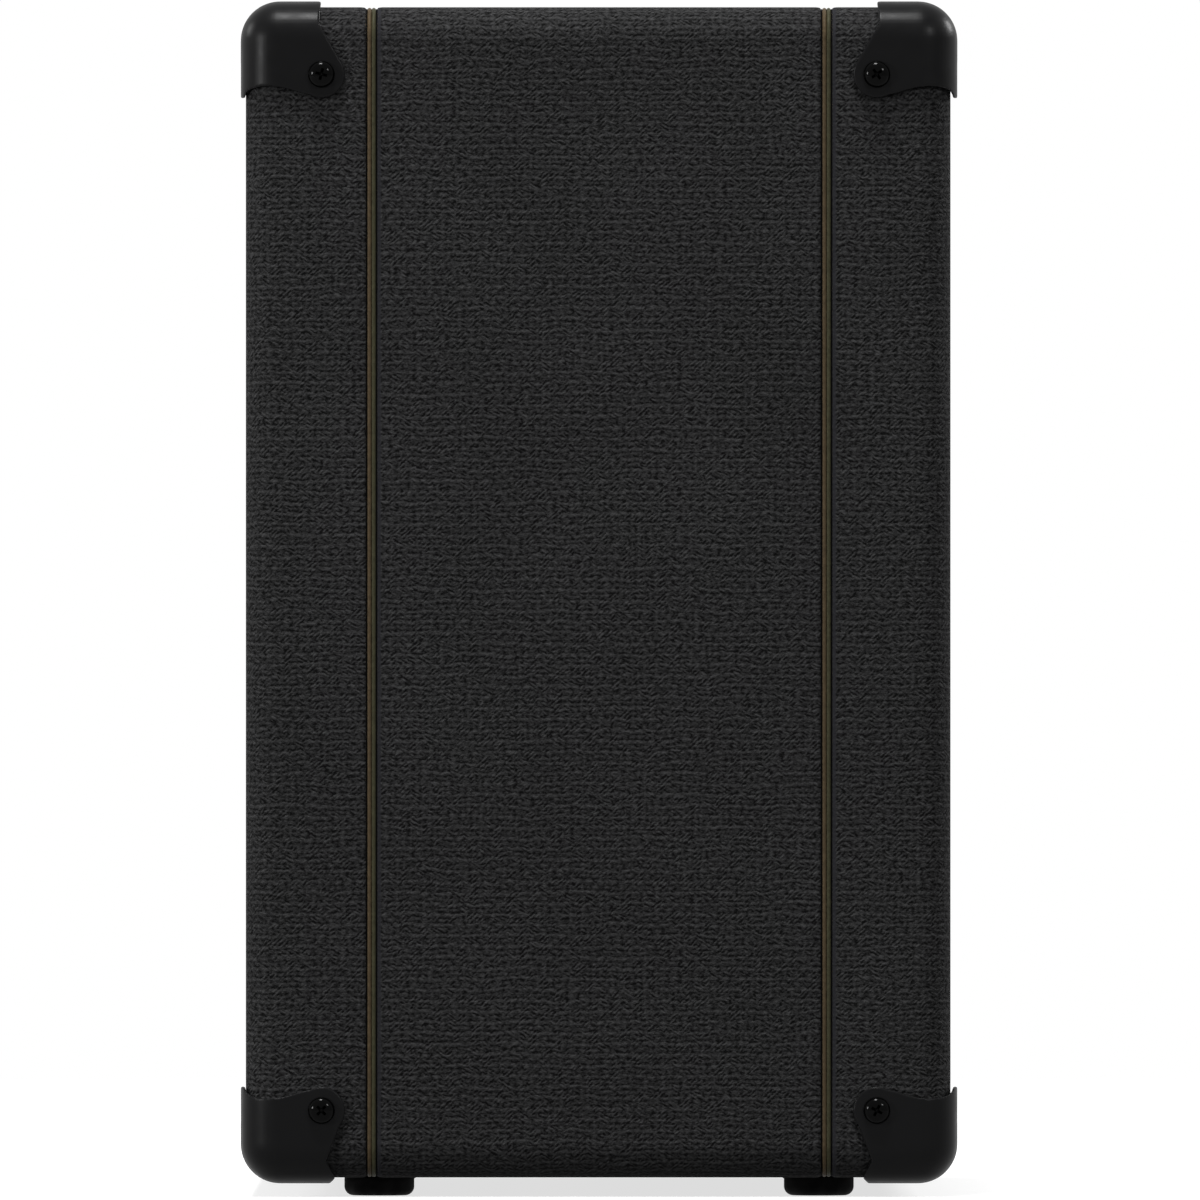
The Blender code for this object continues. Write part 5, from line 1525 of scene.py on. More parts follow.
@dataclass
class Fasteners:
    """Screws and nuts, one of each modelled and set round the amplifier by its tree."""

    tree: GeometryTree

    def cross_head(self, name: str, radius: float, height: float, shank: Point2 = (0.0018, 0.011)) -> Piece:
        """A domed screw with a cross recess, its seat at zero height.

        Args:
            name: The new object's name.
            radius: The head's radius.
            height: The head's height.
            shank: The shank's radius and length.

        Returns:
            The screw, standing on Z.
        """
        head = dome(radius, height, 10)
        rim = [(radius, 0.0), (shank[0], 0.0), (shank[0], -shank[1]), (0.0, -shank[1] - shank[0])]
        screw = lathe(name, head[:-1] + rim, 40)
        rings = [[Vector((x * radius * long, y * radius * wide, height * level)) for x, y in QUARTERS]
                 for long, wide, level in ((0.50, 0.115, 1.1), (0.10, 0.03, -0.3))]
        arms = [loft("recess", rings, matrix=Matrix.Rotation(turn, 4, "Z")) for turn in (0.0, pi / 2)]
        return combined(screw, "DIFFERENCE", *arms)

    def set_round(self, name: str, template: Piece, places: Places,
                  finish: Finish, slot: str, nodes: Iterable[str] = (), seed: int = 1, spin: float = 6.28) -> None:
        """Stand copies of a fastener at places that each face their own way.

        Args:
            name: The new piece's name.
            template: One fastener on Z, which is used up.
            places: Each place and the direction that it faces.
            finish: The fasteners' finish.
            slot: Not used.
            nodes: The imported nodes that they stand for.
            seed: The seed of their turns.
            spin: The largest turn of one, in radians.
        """
        made = self.tree.run(name, facing_points(name, places), finish.material(), Fastener=template,
                             Size=1.0, Spin=spin, Seed=seed)
        bpy.data.objects.remove(template)
        fit(made, finish, nodes)

    def build(self) -> None:
        """The eight corner screws, and the feet with their screws."""
        places, nodes = [], []
        seat = BODY.high.x + BODY.proud + GAP
        for side, edge, level in product(Side, Edge, Level):
            nodes.append(f"screw_{side.name}_{edge.name}_{level.name}".lower())
            centre = NodeBox.of(nodes[-1]).centre
            places.append(((side.value * seat, centre.y, centre.z), (side.value, 0.0, 0.0)))
        self.set_round("corner_screws", self.cross_head("corner_screw", 0.0044, 0.0026), places, SCREW_BLACK,
                       "black_screw", nodes, seed=4)
        feet = [f"foot_{edge.name}_{side.name}".lower() for edge, side in product(Edge, Side)]
        centres = [NodeBox.of(node).centre for node in feet]
        height, radius, bend = 0.006, 0.01145, 0.003
        crown = [(radius - 0.0002, height), (radius, height - 0.0003), (radius, height - 0.0022)]
        profile = [(0.0, height)] + crown + arc((radius - bend, bend), bend, 0, -90, 12)
        profile += [(0.0052, 0.0), (0.0047, 0.0003), (0.0044, 0.003), (0.0, 0.003)]
        stands = [((centre.x, centre.y, 0.0), UP) for centre in centres]
        self.set_round("feet", lathe("foot", profile, 64), stands, RUBBER, "foot_rubber", feet, spin=0.0)
        under = [((centre.x, centre.y, 0.0029), (0.0, 0.0, -1.0)) for centre in centres]
        self.set_round("foot_screws", self.cross_head("foot_screw", 0.0036, 0.0019, (0.0016, 0.002)), under, ZINC,
                       "black_screw", seed=9)


@dataclass
class Front:
    """Grille cloth and the covered rail above it."""

    rail_round: float = 0.0012

    def build(self) -> None:
        """Stretch the cloth over its frame and cover the rail."""
        box = NodeBox.of("grille_cloth")
        wide, tall = box.size.x, box.size.z
        sheet = slab("grille_cloth_sheet", [rounded_rectangle(wide, tall, 0.0012, (0.0, box.centre.z), 4)],
                     box.low.y, box.high.y, Facing.DEPTH)
        sheet = fit(bevelled(sheet, 0.0003, 2), GRILLE_CLOTH, ["grille_cloth"])
        rail = NodeBox.of("front_rail")
        bar = bevelled(block("front_rail_covering", rail.size, rail.centre), self.rail_round, 5)
        fit(weave_map(bar), BOARD_VINYL, ["front_rail"])


@dataclass
class Knob:
    """A fluted knob on a skirt, with a white line that turns with it."""

    radius: float = 0.0092
    flute: float = 0.0005
    flutes: int = 12
    skirt_radius: float = 0.012
    skirt: float = 0.0032
    height: float = 0.015
    standoff: float = 0.003
    shaft: Point2 = (0.003, 0.012)
    line: Point2 = (0.0011, 0.0078)

    def body(self, name: str, place: Matrix) -> Piece:
        """The knob on its shaft.

        Args:
            name: The object's name.
            place: Where the knob stands.

        Returns:
            The knob.
        """
        base, side, edge, (shaft, deep) = self.standoff, self.radius, self.skirt_radius, self.shaft
        top, skirt = base + self.height, base + self.skirt
        profile = [(0.0, top - 0.00055), (side * 0.62, top - 0.00045), (side * 0.78, top - 0.0001)]
        profile += arc((side - 0.0012, top - 0.0012), 0.0011, 90, 4, 6)
        profile += [(side + 0.0001, skirt + 0.0012), (side + 0.0004, skirt + 0.0003), (side + 0.0009, skirt),
                    (edge - 0.0007, base + 0.0013), (edge - 0.0002, base + 0.0010), (edge, base + 0.0006),
                    (edge, base), (shaft, base), (shaft, -deep), (0.0, -deep)]
        knob = lathe(name, profile, 144)
        for vertex in knob.data.vertices:
            x, y, height = vertex.co
            radius = hypot(x, y)
            if height > skirt + 0.0002 and radius > side * 0.7:
                wave = (1 - cos(self.flutes * atan2(y, x))) / 2
                vertex.co.xy *= 1 - self.flute * wave ** 3 * 1.5 / radius
        knob.data.transform(place)
        soften(knob.data, 50.0)
        return knob

    def pointer(self, name: str, place: Matrix) -> Piece:
        """The inlaid line from the middle of the top to its edge and down the side.

        Args:
            name: The object's name.
            place: Where the knob stands.

        Returns:
            The line.
        """
        (width, length), radius, top = self.line, self.radius, self.standoff + self.height
        rail = [(radius - length, top - 0.0004), (radius - 0.0016, top + HAIR - 0.0001),
                (radius - 0.0006, top - 0.0003), (radius - 0.0001, top - 0.0011), (radius + 0.0001, top - 0.0088)]
        rings = [[Vector((side * width / 2, y, z)) for side, (y, z) in ((1, high), (-1, high), (-1, low), (1, low))]
                 for high, low in zip(rail, offset(rail, -0.0004))]
        return loft(name, rings, matrix=place)


@dataclass
class ControlPanel:
    """Everything on the recessed panel: knobs, button, rocker, lamp, input and the printing."""

    fasteners: Fasteners
    knob: Knob
    names: tuple[str, ...] = ("gain", "volume", "bass", "middle", "treble", "reverb")
    nut_radius: float = 0.0062
    mark_radius: float = 0.0136
    number_radius: float = 0.0164

    def __post_init__(self) -> None:
        """Read the panel's face and the controls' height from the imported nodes."""
        self.face = NodeBox.of("control_panel").low.y
        self.height = NodeBox.of("knob_gain").centre.z

    def at(self, x: float) -> Matrix:
        """The frame of a control on the panel, its Z out towards the player."""
        return Matrix.Translation((x, self.face, self.height)) @ FACE_FRONT

    def printing(self) -> None:
        """Numbers, marks and generic words in white ink."""
        marks = []
        words = self.height - 0.0215
        tree = tick_tree()
        for name in self.names:
            x = NodeBox.of(f"knob_{name}").centre.x
            seed = new_piece(f"marks_{name}", bpy.data.meshes.new(f"marks_{name}"))
            ring = tree.run(f"dial_{name}", seed, PANEL_INK.material(), Radius=self.mark_radius, Start=radians(-60),
                            Sweep=radians(300), Count=11, Length=0.0016, Width=0.0004, Thickness=2 * HAIR)
            ring.data.transform(self.at(x))
            marks.append(ring)
            for number in range(11):
                angle = radians(240 - 30 * number)
                place = (x + self.number_radius * cos(angle), self.height + self.number_radius * sin(angle))
                marks.append(lettering(str(number), 0.0019, place, self.face))
            marks.append(lettering(name.upper(), 0.0027, (x, words), self.face))
        for word, node in (("INPUT", "input_jack"), ("CHANNEL", "channel_button"), ("POWER", "rocker_bezel")):
            marks.append(lettering(word, 0.0027, (NodeBox.of(node).centre.x, words), self.face))
        for piece in marks:
            piece.data.materials.clear()
        fit(gathered("panel_printing", marks), PANEL_INK)

    def knobs(self) -> None:
        """The six knobs, their lines, and the nuts that hold their pots."""
        nuts = []
        for name in self.names:
            node = f"knob_{name}"
            place = self.at(NodeBox.of(node).centre.x)
            fit(self.knob.body(f"{node}_moulding", place), KNOB_BLACK, [node], node)
            fit(self.knob.pointer(f"{node}_line", place), PANEL_INK, body=node)
            nuts.append((place.translation, (0.0, -1.0, 0.0)))
        nut = self.nut("pot_nut", self.nut_radius, 0.0047, 0.0021)
        self.fasteners.set_round("pot_nuts", nut, nuts, NICKEL, "zinc_steel", seed=3, spin=0.6)

    def nut(self, name: str, radius: float, bore: float, height: float) -> Piece:
        """A thin hexagonal nut on a washer, its faces chamfered.

        Args:
            name: The new object's name.
            radius: The radius of its corners.
            bore: The radius of its hole.
            height: Its height with the washer.

        Returns:
            The nut on Z, its foot a hair above zero.
        """
        foot, washer, edge = 0.0001, 0.0005, 0.0003
        profile = [(bore, foot, False), (radius * 1.06, foot, False), (radius * 1.06, washer, False),
                   (radius * 0.90, washer, False), (radius, washer + edge, True), (radius, height - edge, True),
                   (radius * 0.90, height, False), (bore, height, False)]
        return hexagonal(name, profile, 48, closed=True)

    def button(self) -> None:
        """The channel button, with a ring of nickel round it."""
        box = NodeBox.of("channel_button")
        place = self.at(box.centre.x)
        proud, deep, radius = self.face - box.low.y, self.face - box.high.y, 0.0042
        profile = [(0.0, proud - 0.0004), (radius * 0.55, proud - 0.00025), (radius - 0.0009, proud)]
        profile += arc((radius - 0.0007, proud - 0.0007), 0.0007, 90, 0, 6)
        profile += [(radius, -0.0029), (0.0015, -0.0029), (0.0015, deep), (0.0, deep)]
        button = lathe("channel_button_moulding", profile, 64, place)
        fit(button, KNOB_BLACK, ["channel_button"], "channel_button")
        ring = [(radius + 0.0003, 0.0001), (radius + 0.0022, 0.0001), (radius + 0.0022, 0.0006),
                (radius + 0.0017, 0.0011), (radius + 0.0008, 0.0012), (radius + 0.0003, 0.0009)]
        fit(lathe("button_ring", ring, 64, place, closed=True), NICKEL)

    def rocker(self) -> None:
        """The mains rocker in its bezel, with its on and off signs."""
        bezel = NodeBox.of("rocker_bezel")
        wide, tall, centre = bezel.size.x, bezel.size.z, (bezel.centre.x, bezel.centre.z)
        front, back = bezel.low.y, bezel.high.y
        flange = rounded_rectangle(wide, tall, 0.002, centre, 8)
        room, wall = (rectangle(wide - 2 * inset, tall - 2 * inset, centre) for inset in (0.0038, 0.0022))
        outer = slab("bezel_flange", [flange, room], front, front + 0.0012, Facing.DEPTH)
        sleeve = slab("bezel_sleeve", [wall, room], front + 0.0011, back - 0.0012, Facing.DEPTH)
        floor = slab("bezel_floor", [wall], back - 0.0013, back, Facing.DEPTH)
        surround = combined(bevelled(outer, 0.0004, 3), "UNION", sleeve, floor)
        fit(surround, SOCKET_BLACK, ["rocker_bezel"])
        wide, half, ridge, deep = 0.011, 0.010, 0.0036, 0.005
        tilt = radians(9.0)
        tip = half * tan(tilt) - ridge
        curve = [(-ridge, 0.0)]
        for step in range(1, 9):
            bow = 0.00035 * sin(pi * step / 8)
            curve.append((-ridge + (tip + ridge) * step / 8 + bow, -half * step / 8))
        face = curve + [(deep, 0.0016 - half), (deep, half - 0.0016)]
        face += [(depth, -up) for depth, up in reversed(curve[1:])]
        pivot = Vector((bezel.centre.x, self.face + 0.0005, self.height))
        turned = Matrix.Translation(pivot) @ Matrix.Rotation(tilt, 4, "X")
        rocker = bevelled(slab("power_rocker_moulding", [face], -wide / 2, wide / 2, Facing.ACROSS), 0.00035, 3)
        pin = lathe("rocker_pin", [(0.0, -0.0063), (0.0012, -0.0063), (0.0012, 0.0063), (0.0, 0.0063)], 24,
                    Matrix.Rotation(pi / 2, 4, "Y"))
        whole = combined(rocker, "UNION", pin)
        whole.data.transform(turned)
        fit(whole, KNOB_BLACK, ["power_rocker"], "power_rocker")
        signs = []
        slope = atan2(tip + ridge, half)
        for lift, outline in ((1, [rectangle(0.0006, 0.0034)]), (-1, [circle(0.0018), circle(0.0013)])):
            sign = slab("rocker_sign", outline, -0.00006, 0.00006, Facing.DEPTH)
            lie = Matrix.Translation((0.0, (tip - ridge) / 2 + 0.00030, lift * half / 2))
            sign.data.transform(turned @ lie @ Matrix.Rotation(-lift * slope, 4, "X"))
            signs.append(sign)
        fit(gathered("rocker_signs", signs), PANEL_INK, body="power_rocker")

    def lamp(self) -> None:
        """The red jewel in a bright ring."""
        box = NodeBox.of("pilot_lamp")
        place = self.at(box.centre.x)
        proud = self.face - box.low.y
        jewel = [(radius, height + 0.0012) for radius, height in dome(0.0033, proud - 0.0012, 8)]
        jewel += [(0.0033, -0.0119), (0.0, -0.0119)]
        lens = lathe("pilot_lamp_lens", jewel, 12, place, smooth=20.0)
        fit(lens, LENS_RED, ["pilot_lamp"])
        ring = [(0.0034, 0.0001), (0.0050, 0.0001), (0.0050, 0.0007), (0.0046, 0.0011), (0.0040, 0.0012),
                (0.0034, 0.0009)]
        fit(lathe("lamp_ring", ring, 64, place, closed=True), NICKEL)

    def jack(self) -> None:
        """The input socket: a moulded body behind, a bushing, a nut and a bright lining."""
        box = NodeBox.of("input_jack")
        place = self.at(box.centre.x)
        proud, deep = self.face - box.low.y, self.face - box.high.y
        bush, bore = 0.0055, 0.0035
        profile = [(0.0, deep + 0.0017), (bore, deep + 0.0017), (bore, proud - 0.0006), (bore + 0.0005, proud),
                   (bush - 0.0003, proud), (bush, proud - 0.0003), (bush, deep + 0.0003), (0.0, deep + 0.0003)]
        tube = lathe("input_jack_tube", profile, 64, place)
        body_front = NodeBox.of("chassis_tray").low.y + 0.0015
        body = block("input_jack_body", (0.016, box.high.y - body_front, 0.016),
                     (box.centre.x, (box.high.y + body_front) / 2, self.height))
        core = lathe("input_jack_room", [(0.0, deep + 0.0002), (bush + HAIR, deep + 0.0002),
                                         (bush + HAIR, 0.01), (0.0, 0.01)], 64, place)
        shell = combined(bevelled(body, 0.0008, 3), "DIFFERENCE", core)
        fit(gathered("input_jack_moulding", [shell, tube]), SOCKET_BLACK, ["input_jack"])
        nut = self.nut("jack_nut", 0.0074, bush + 0.0001, 0.0033)
        nut.data.transform(place)
        fit(nut, NICKEL)

    def build(self) -> None:
        """Make everything on the panel."""
        keep(PANEL_BLACK, "control_panel")
        self.printing()
        self.knobs()
        self.button()
        self.rocker()
        self.lamp()
        self.jack()


@dataclass
class Chassis:
    """The tray behind the panel and what it carries."""

    fasteners: Fasteners
    core: tuple[float, float, float] = (0.060, 0.036, 0.030)
    leaves: int = 60

    def transformer(self) -> None:
        """Laminations round a taped winding, held down by a strap."""
        box = NodeBox.of("transformer")
        wide, deep, tall = self.core
        x, y, floor = box.centre.x, box.centre.y, box.low.z
        middle, pitch = floor + tall / 2, deep / self.leaves
        plates = stack_tree().run("transformer_plates", new_piece("plates", bpy.data.meshes.new("plates")),
                                  CORE_STEEL.material(), Pitch=pitch, Thickness=pitch * 0.82, Width=wide,
                                  Height=tall, Count=self.leaves)
        plates.data.transform(Matrix.Translation((x, y - deep / 2 + pitch / 2, middle)))
        plates.data.materials.clear()
        centre = block("transformer_heart", (wide - 0.0006, deep - 0.0006, tall - 0.0006), (x, y, middle))
        strap = bevelled(block("transformer_strap", (box.size.x, deep / 2, 0.0024), (x, y, floor + 0.0012)), 0.0005)
        fit(gathered("transformer_core", [plates, centre, strap]), CORE_STEEL, ["transformer"])
        winding = slab("transformer_winding", [rounded_rectangle(0.038, 0.024, 0.006, (x, middle))],
                       y - 0.026, y + 0.026, Facing.DEPTH)
        fit(bevelled(winding, 0.002, 4), TAPE)

    def inlet(self) -> None:
        """The mains inlet: a flanged moulding with three blades and two screws."""
        box = NodeBox.of("mains_inlet")
        x, z = box.centre.x, box.centre.z
        front = NodeBox.of("chassis_tray").high.y + GAP
        back = box.high.y

        def mouth(growth: float) -> list[Point2]:
            """The socket's outline, its upper corners cut off."""
            wide, tall, slant = 0.012 + growth, 0.0085 + growth, 0.004
            return [(x - wide, z - tall), (x + wide, z - tall), (x + wide, z + tall - slant),
                    (x + wide - slant, z + tall), (x - wide + slant, z + tall), (x - wide, z + tall - slant)]

        flange = slab("inlet_flange", [rounded_rectangle(box.size.x, box.size.z, 0.003, (x, z), 8)], front, back,
                      Facing.DEPTH)
        body = slab("inlet_body", [mouth(0.0017)], box.low.y, front + GAP, Facing.DEPTH)
        room = slab("inlet_room", [mouth(0.0)], box.low.y + 0.0017, back + 0.004, Facing.DEPTH)
        shell = combined(combined(bevelled(flange, 0.0005, 3), "UNION", body), "DIFFERENCE", room)
        fit(shell, SOCKET_BLACK, ["mains_inlet"])
        blades = [bevelled(block("inlet_blade", (0.0020, 0.0120, 0.0040),
                                 (x + across, box.low.y + 0.0017 + 0.006, z + up)), 0.0004)
                  for across, up in ((0.0, 0.0040), (-0.0070, -0.0015), (0.0070, -0.0015))]
        fit(gathered("inlet_blades", blades), NICKEL)
        head = self.fasteners.cross_head("inlet_screw", 0.0028, 0.0013, (0.0014, 0.004))
        places = [((x + side.value * 0.0195, back, z), BACK) for side in Side]
        self.fasteners.set_round("inlet_screws", head, places, SCREW_BLACK, "black_screw", seed=6)

    def build(self) -> None:
        """Finish the tray and its contents."""
        keep(ZINC, "chassis_tray")
        keep(ALUMINIUM, "heatsink")
        keep(LACQUER, "control_board")
        self.transformer()
        self.inlet()


@dataclass
class BackPanels:
    """The two covered boards that close the top and bottom of the open back."""

    fasteners: Fasteners
    edge: float = 0.0012
    inset: float = 0.0062
    screws: tuple[float, ...] = (-0.86, -0.43, 0.0, 0.43, 0.86)

    def build(self) -> None:
        """Cover the boards and screw them on through cup washers."""
        upper, lower = NodeBox.of("upper_back_panel"), NodeBox.of("lower_back_panel")
        inlet = NodeBox.of("mains_inlet")
        window = rounded_rectangle(inlet.size.x + 0.012, inlet.size.z + 0.012, 0.004,
                                   (inlet.centre.x, inlet.centre.z), 8)
        places = []
        for name, box, holes in (("upper_back_panel", upper, [window]), ("lower_back_panel", lower, [])):
            outline = rounded_rectangle(box.size.x, box.size.z, 0.0015, (0.0, box.centre.z), 5)
            board = slab(f"{name}_covering", [outline] + holes, box.low.y, box.high.y, Facing.DEPTH)
            fit(weave_map(bevelled(board, self.edge, 4)), BOARD_VINYL, [name])
            rows = [box.high.z - self.inset, box.low.z + self.inset]
            outer, inner = rows if box is upper else reversed(rows)
            screws = [(across, outer) for across in self.screws] + [(side.value, inner) for side in Side]
            places += [((across * (box.size.x / 2 - self.inset), box.high.y - 0.0006, z), BACK)
                       for across, z in screws]
        cup = [(0.0032, 0.0), (0.0058, 0.0), (0.0058, 0.0003), (0.0050, 0.0011), (0.0042, 0.0014),
               (0.0036, 0.0010), (0.0032, 0.0006)]
        self.fasteners.set_round("cup_washers", lathe("cup_washer", cup, 48, closed=True), places, NICKEL,
                                 "black_screw", spin=0.0)
        raised = [((x, y + 0.0004, z), facing) for (x, y, z), facing in places]
        head = self.fasteners.cross_head("panel_screw", 0.0034, 0.0012, (0.0016, 0.004))
        self.fasteners.set_round("panel_screws", head, raised, SCREW_BLACK, "black_screw", seed=12)


@dataclass
class Speaker:
    """The ten inch loudspeaker: basket, cone and its suspension, and the magnet."""

    fasteners: Fasteners
    radius: float = 0.1285
    rim: Point2 = (0.114, 0.007)
    ledge: float = 0.106
    spider: Point2 = (0.063, 0.046)
    spider_ledge: float = 0.056
    floor: Point2 = (0.052, 0.056)
    bore: float = 0.0222
    sheet: float = 0.0015
    bolt_ring: float = 0.121
    windows: int = 8
    window: Point2 = (0.070, 0.100)
    span: float = 25.0
    cone: float = 0.100
    coil: float = 0.0198
    cap: Point2 = (0.027, 0.009)
    soft: float = 0.0008

    def __post_init__(self) -> None:
        """Read where the speaker stands from its imported basket."""
        box = NodeBox.of("speaker_basket")
        self.face, self.height = box.low.y, box.centre.z
        self.place = Matrix.Translation((0.0, self.face, self.height)) @ FACE_FRONT

    def depth(self, radius: float) -> float:
        """How far behind the flange the cone is at a radius."""
        along = min((self.cone - radius) / (self.cone - self.coil), 1.0)
        return 0.0056 + (0.037 - 0.0056) * max(along, 0.0) ** 0.9

    def window_outline(self, middle: float) -> list[Point2]:
        """One window's outline: a sector with soft corners, its middle at that many degrees.

        Args:
            middle: The direction of its middle, in degrees.

        Returns:
            The outline's points.
        """
        inner, outer = self.window
        points = []
        for step in range(56):
            turn = 2 * pi * step / 56
            reach, swing = (copysign(abs(part) ** 0.42, part) for part in (sin(turn), cos(turn)))
            radius = (outer + inner) / 2 + (outer - inner) / 2 * reach
            aim = radians(middle + self.span / 2 * swing)
            points.append((radius * cos(aim), self.height + radius * sin(aim)))
        return points

    def basket(self) -> None:
        """The pressed frame with its windows, and the bolts through its flange."""
        (rim, sunk), (spider, deep), (floor, bottom) = self.rim, self.spider, self.floor
        line = [(self.radius, -0.0), (rim + 0.001, 0.0), (rim + 0.0002, -0.0003), (rim, -0.0010),
                (rim, -sunk + 0.0010), (rim - 0.0003, -sunk + 0.0003), (rim - 0.0010, -sunk),
                (self.ledge + 0.0010, -sunk), (self.ledge, -sunk - 0.0005), (spider + 0.0012, -deep + 0.0008),
                (spider, -deep), (self.spider_ledge + 0.0006, -deep), (self.spider_ledge, -deep - 0.0005),
                (floor + 0.0004, -bottom + 0.0006), (floor - 0.0006, -bottom), (self.bore, -bottom)]
        back = offset(line, self.sheet)
        back[0] = (line[0][0], line[0][1] - self.sheet)
        basket = lathe("speaker_basket_pressing", line + list(reversed(back)), 144, self.place, closed=True)
        cutters = [self.window_outline(360 / self.windows * (index + 0.5)) for index in range(self.windows)]
        cutter = slab("basket_windows", cutters, self.face + 0.009, self.face + deep - 0.001, Facing.DEPTH)
        fit(combined(basket, "DIFFERENCE", cutter), BASKET_PAINT, ["speaker_basket"])
        ring = arc((0.0, self.height), self.bolt_ring, 22.5, 337.5, 7)
        places = [((x, self.face + self.sheet, z), BACK) for x, z in ring]
        self.fasteners.set_round("speaker_bolts", self.bolt(), places, ZINC, "zinc_steel", seed=5, spin=1.0)

    def bolt(self) -> Piece:
        """A nut on a washer with the end of its bolt standing out.

        Returns:
            The bolt at the origin, along Z.
        """
        washer = [(0.0, 0.0001), (0.0052, 0.0001), (0.0052, 0.0008)]
        nut = [(0.0038, 0.0008), (0.0040, 0.0011), (0.0040, 0.0034), (0.0035, 0.0038)]
        end = [(0.0020, 0.0038), (0.0020, 0.0056), (0.0016, 0.0060), (0.0, 0.0060)]
        profile = [(*point, line is nut) for line in (washer, nut, end) for point in line]
        return hexagonal("speaker_bolt", profile, 36)

    def suspended(self, name: str, line: Sequence[Point2], finish: Finish, node: str) -> None:
        """Turn a thin skin and hang it on the model.

        Args:
            name: The new piece's name.
            line: Points of (radius, height), from the outside in.
            finish: Its finish.
            node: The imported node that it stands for.
        """
        profile = list(line) + [(radius, height - self.soft) for radius, height in reversed(line)]
        fit(lathe(name, profile, 144, self.place, closed=True), finish, [node])

    def cone_and_cap(self) -> None:
        """The ribbed cone on its coil, with the cap over the middle."""
        edge, neck, wall, steps = self.cone, self.coil, 0.0006, 60
        profile = []
        for step in range(steps + 1):
            radius = edge + (neck - edge) * step / steps
            rib = sum(0.00045 * exp(-((radius - at) / 0.0011) ** 2) for at in (0.088, 0.074, 0.060))
            profile.append((radius, -self.depth(radius) + rib))
        profile += [(neck - wall, -0.0362), (neck - wall, -0.068), (neck, -0.068), (neck, -0.0385)]
        for step in range(31):
            radius = neck + wall + (edge - neck - wall) * step / 30
            profile.append((radius, -self.depth(radius) - 0.0010))
        cone = lathe("speaker_cone_paper", profile, 144, self.place, closed=True)
        fit(cone, PULP, ["speaker_cone"], "cone")
        rim = self.depth(self.cap[0]) - GAP - self.soft
        cap = [(radius, height - rim) for radius, height in dome(self.cap[0], self.cap[1], 24)]
        inner = [(radius * (1 - self.soft / self.cap[0]), height - self.soft * 0.8)
                 for radius, height in reversed(cap)]
        fit(lathe("dust_cap_dome", cap + inner, 96, self.place), PULP, ["dust_cap"], "cone")

    def suspension(self) -> None:
        """The rippled surround and spider."""
        level = self.rim[1] - GAP - self.soft
        line = [(self.rim[0] - self.soft, -level), (self.ledge + 0.0006, -level)]
        inner = self.cone + GAP
        for step in range(25):
            along = step / 24
            line.append((self.ledge + (inner - self.ledge) * along, 0.0012 * sin(2 * pi * along) - level))
        self.suspended("speaker_surround_edge", line, PULP, "speaker_surround")
        level = self.spider[1] - GAP - self.soft
        line = [(self.spider[0] - GAP, -level)]
        inner = self.coil + 3 * GAP
        for step in range(97):
            along = step / 96
            line.append((self.spider_ledge + (inner - self.spider_ledge) * along,
                         0.0010 * sin(2 * pi * 7.5 * along) * min(1.0, 8 * along) - level))
        self.suspended("speaker_spider_cloth", line, IMPREGNATED, "speaker_spider")

    def magnet(self) -> None:
        """Two steel plates, the ferrite ring between them, and the pole in the middle."""
        front = -(self.floor[1] + self.sheet + GAP)
        plate, ring, disc, edge = 0.006, 0.060, 0.050, 0.0008
        first, second = front - plate, front - plate - 0.018
        back, waist = second - plate, disc - 0.002
        pole, slot = self.coil - 0.0012, self.coil + 0.0006
        steel = [(0.0, front), (pole, front), (pole, front - 0.018), (slot, front - 0.018), (slot, front),
                 (disc - edge, front), (disc, front - edge), (disc, first + HAIR), (waist, first + HAIR),
                 (waist, second - HAIR), (disc, second - HAIR), (disc, back + 0.0024), (disc - 0.0024, back),
                 (0.006, back), (0.0052, back + 0.0008), (0.0050, back + 0.006), (0.0, back + 0.006)]
        fit(lathe("speaker_magnet_plates", steel, 96, self.place), ZINC, ["speaker_magnet"])
        core = waist + HAIR
        ferrite = [(core, first), (ring - 0.0015, first), (ring, first - 0.0015), (ring, second + 0.0015),
                   (ring - 0.0015, second), (core, second)]
        fit(lathe("speaker_magnet_ferrite", ferrite, 120, self.place, closed=True), FERRITE)

    def build(self) -> None:
        """Make the speaker from its basket to its magnet."""
        self.basket()
        self.cone_and_cap()
        self.suspension()
        self.magnet()


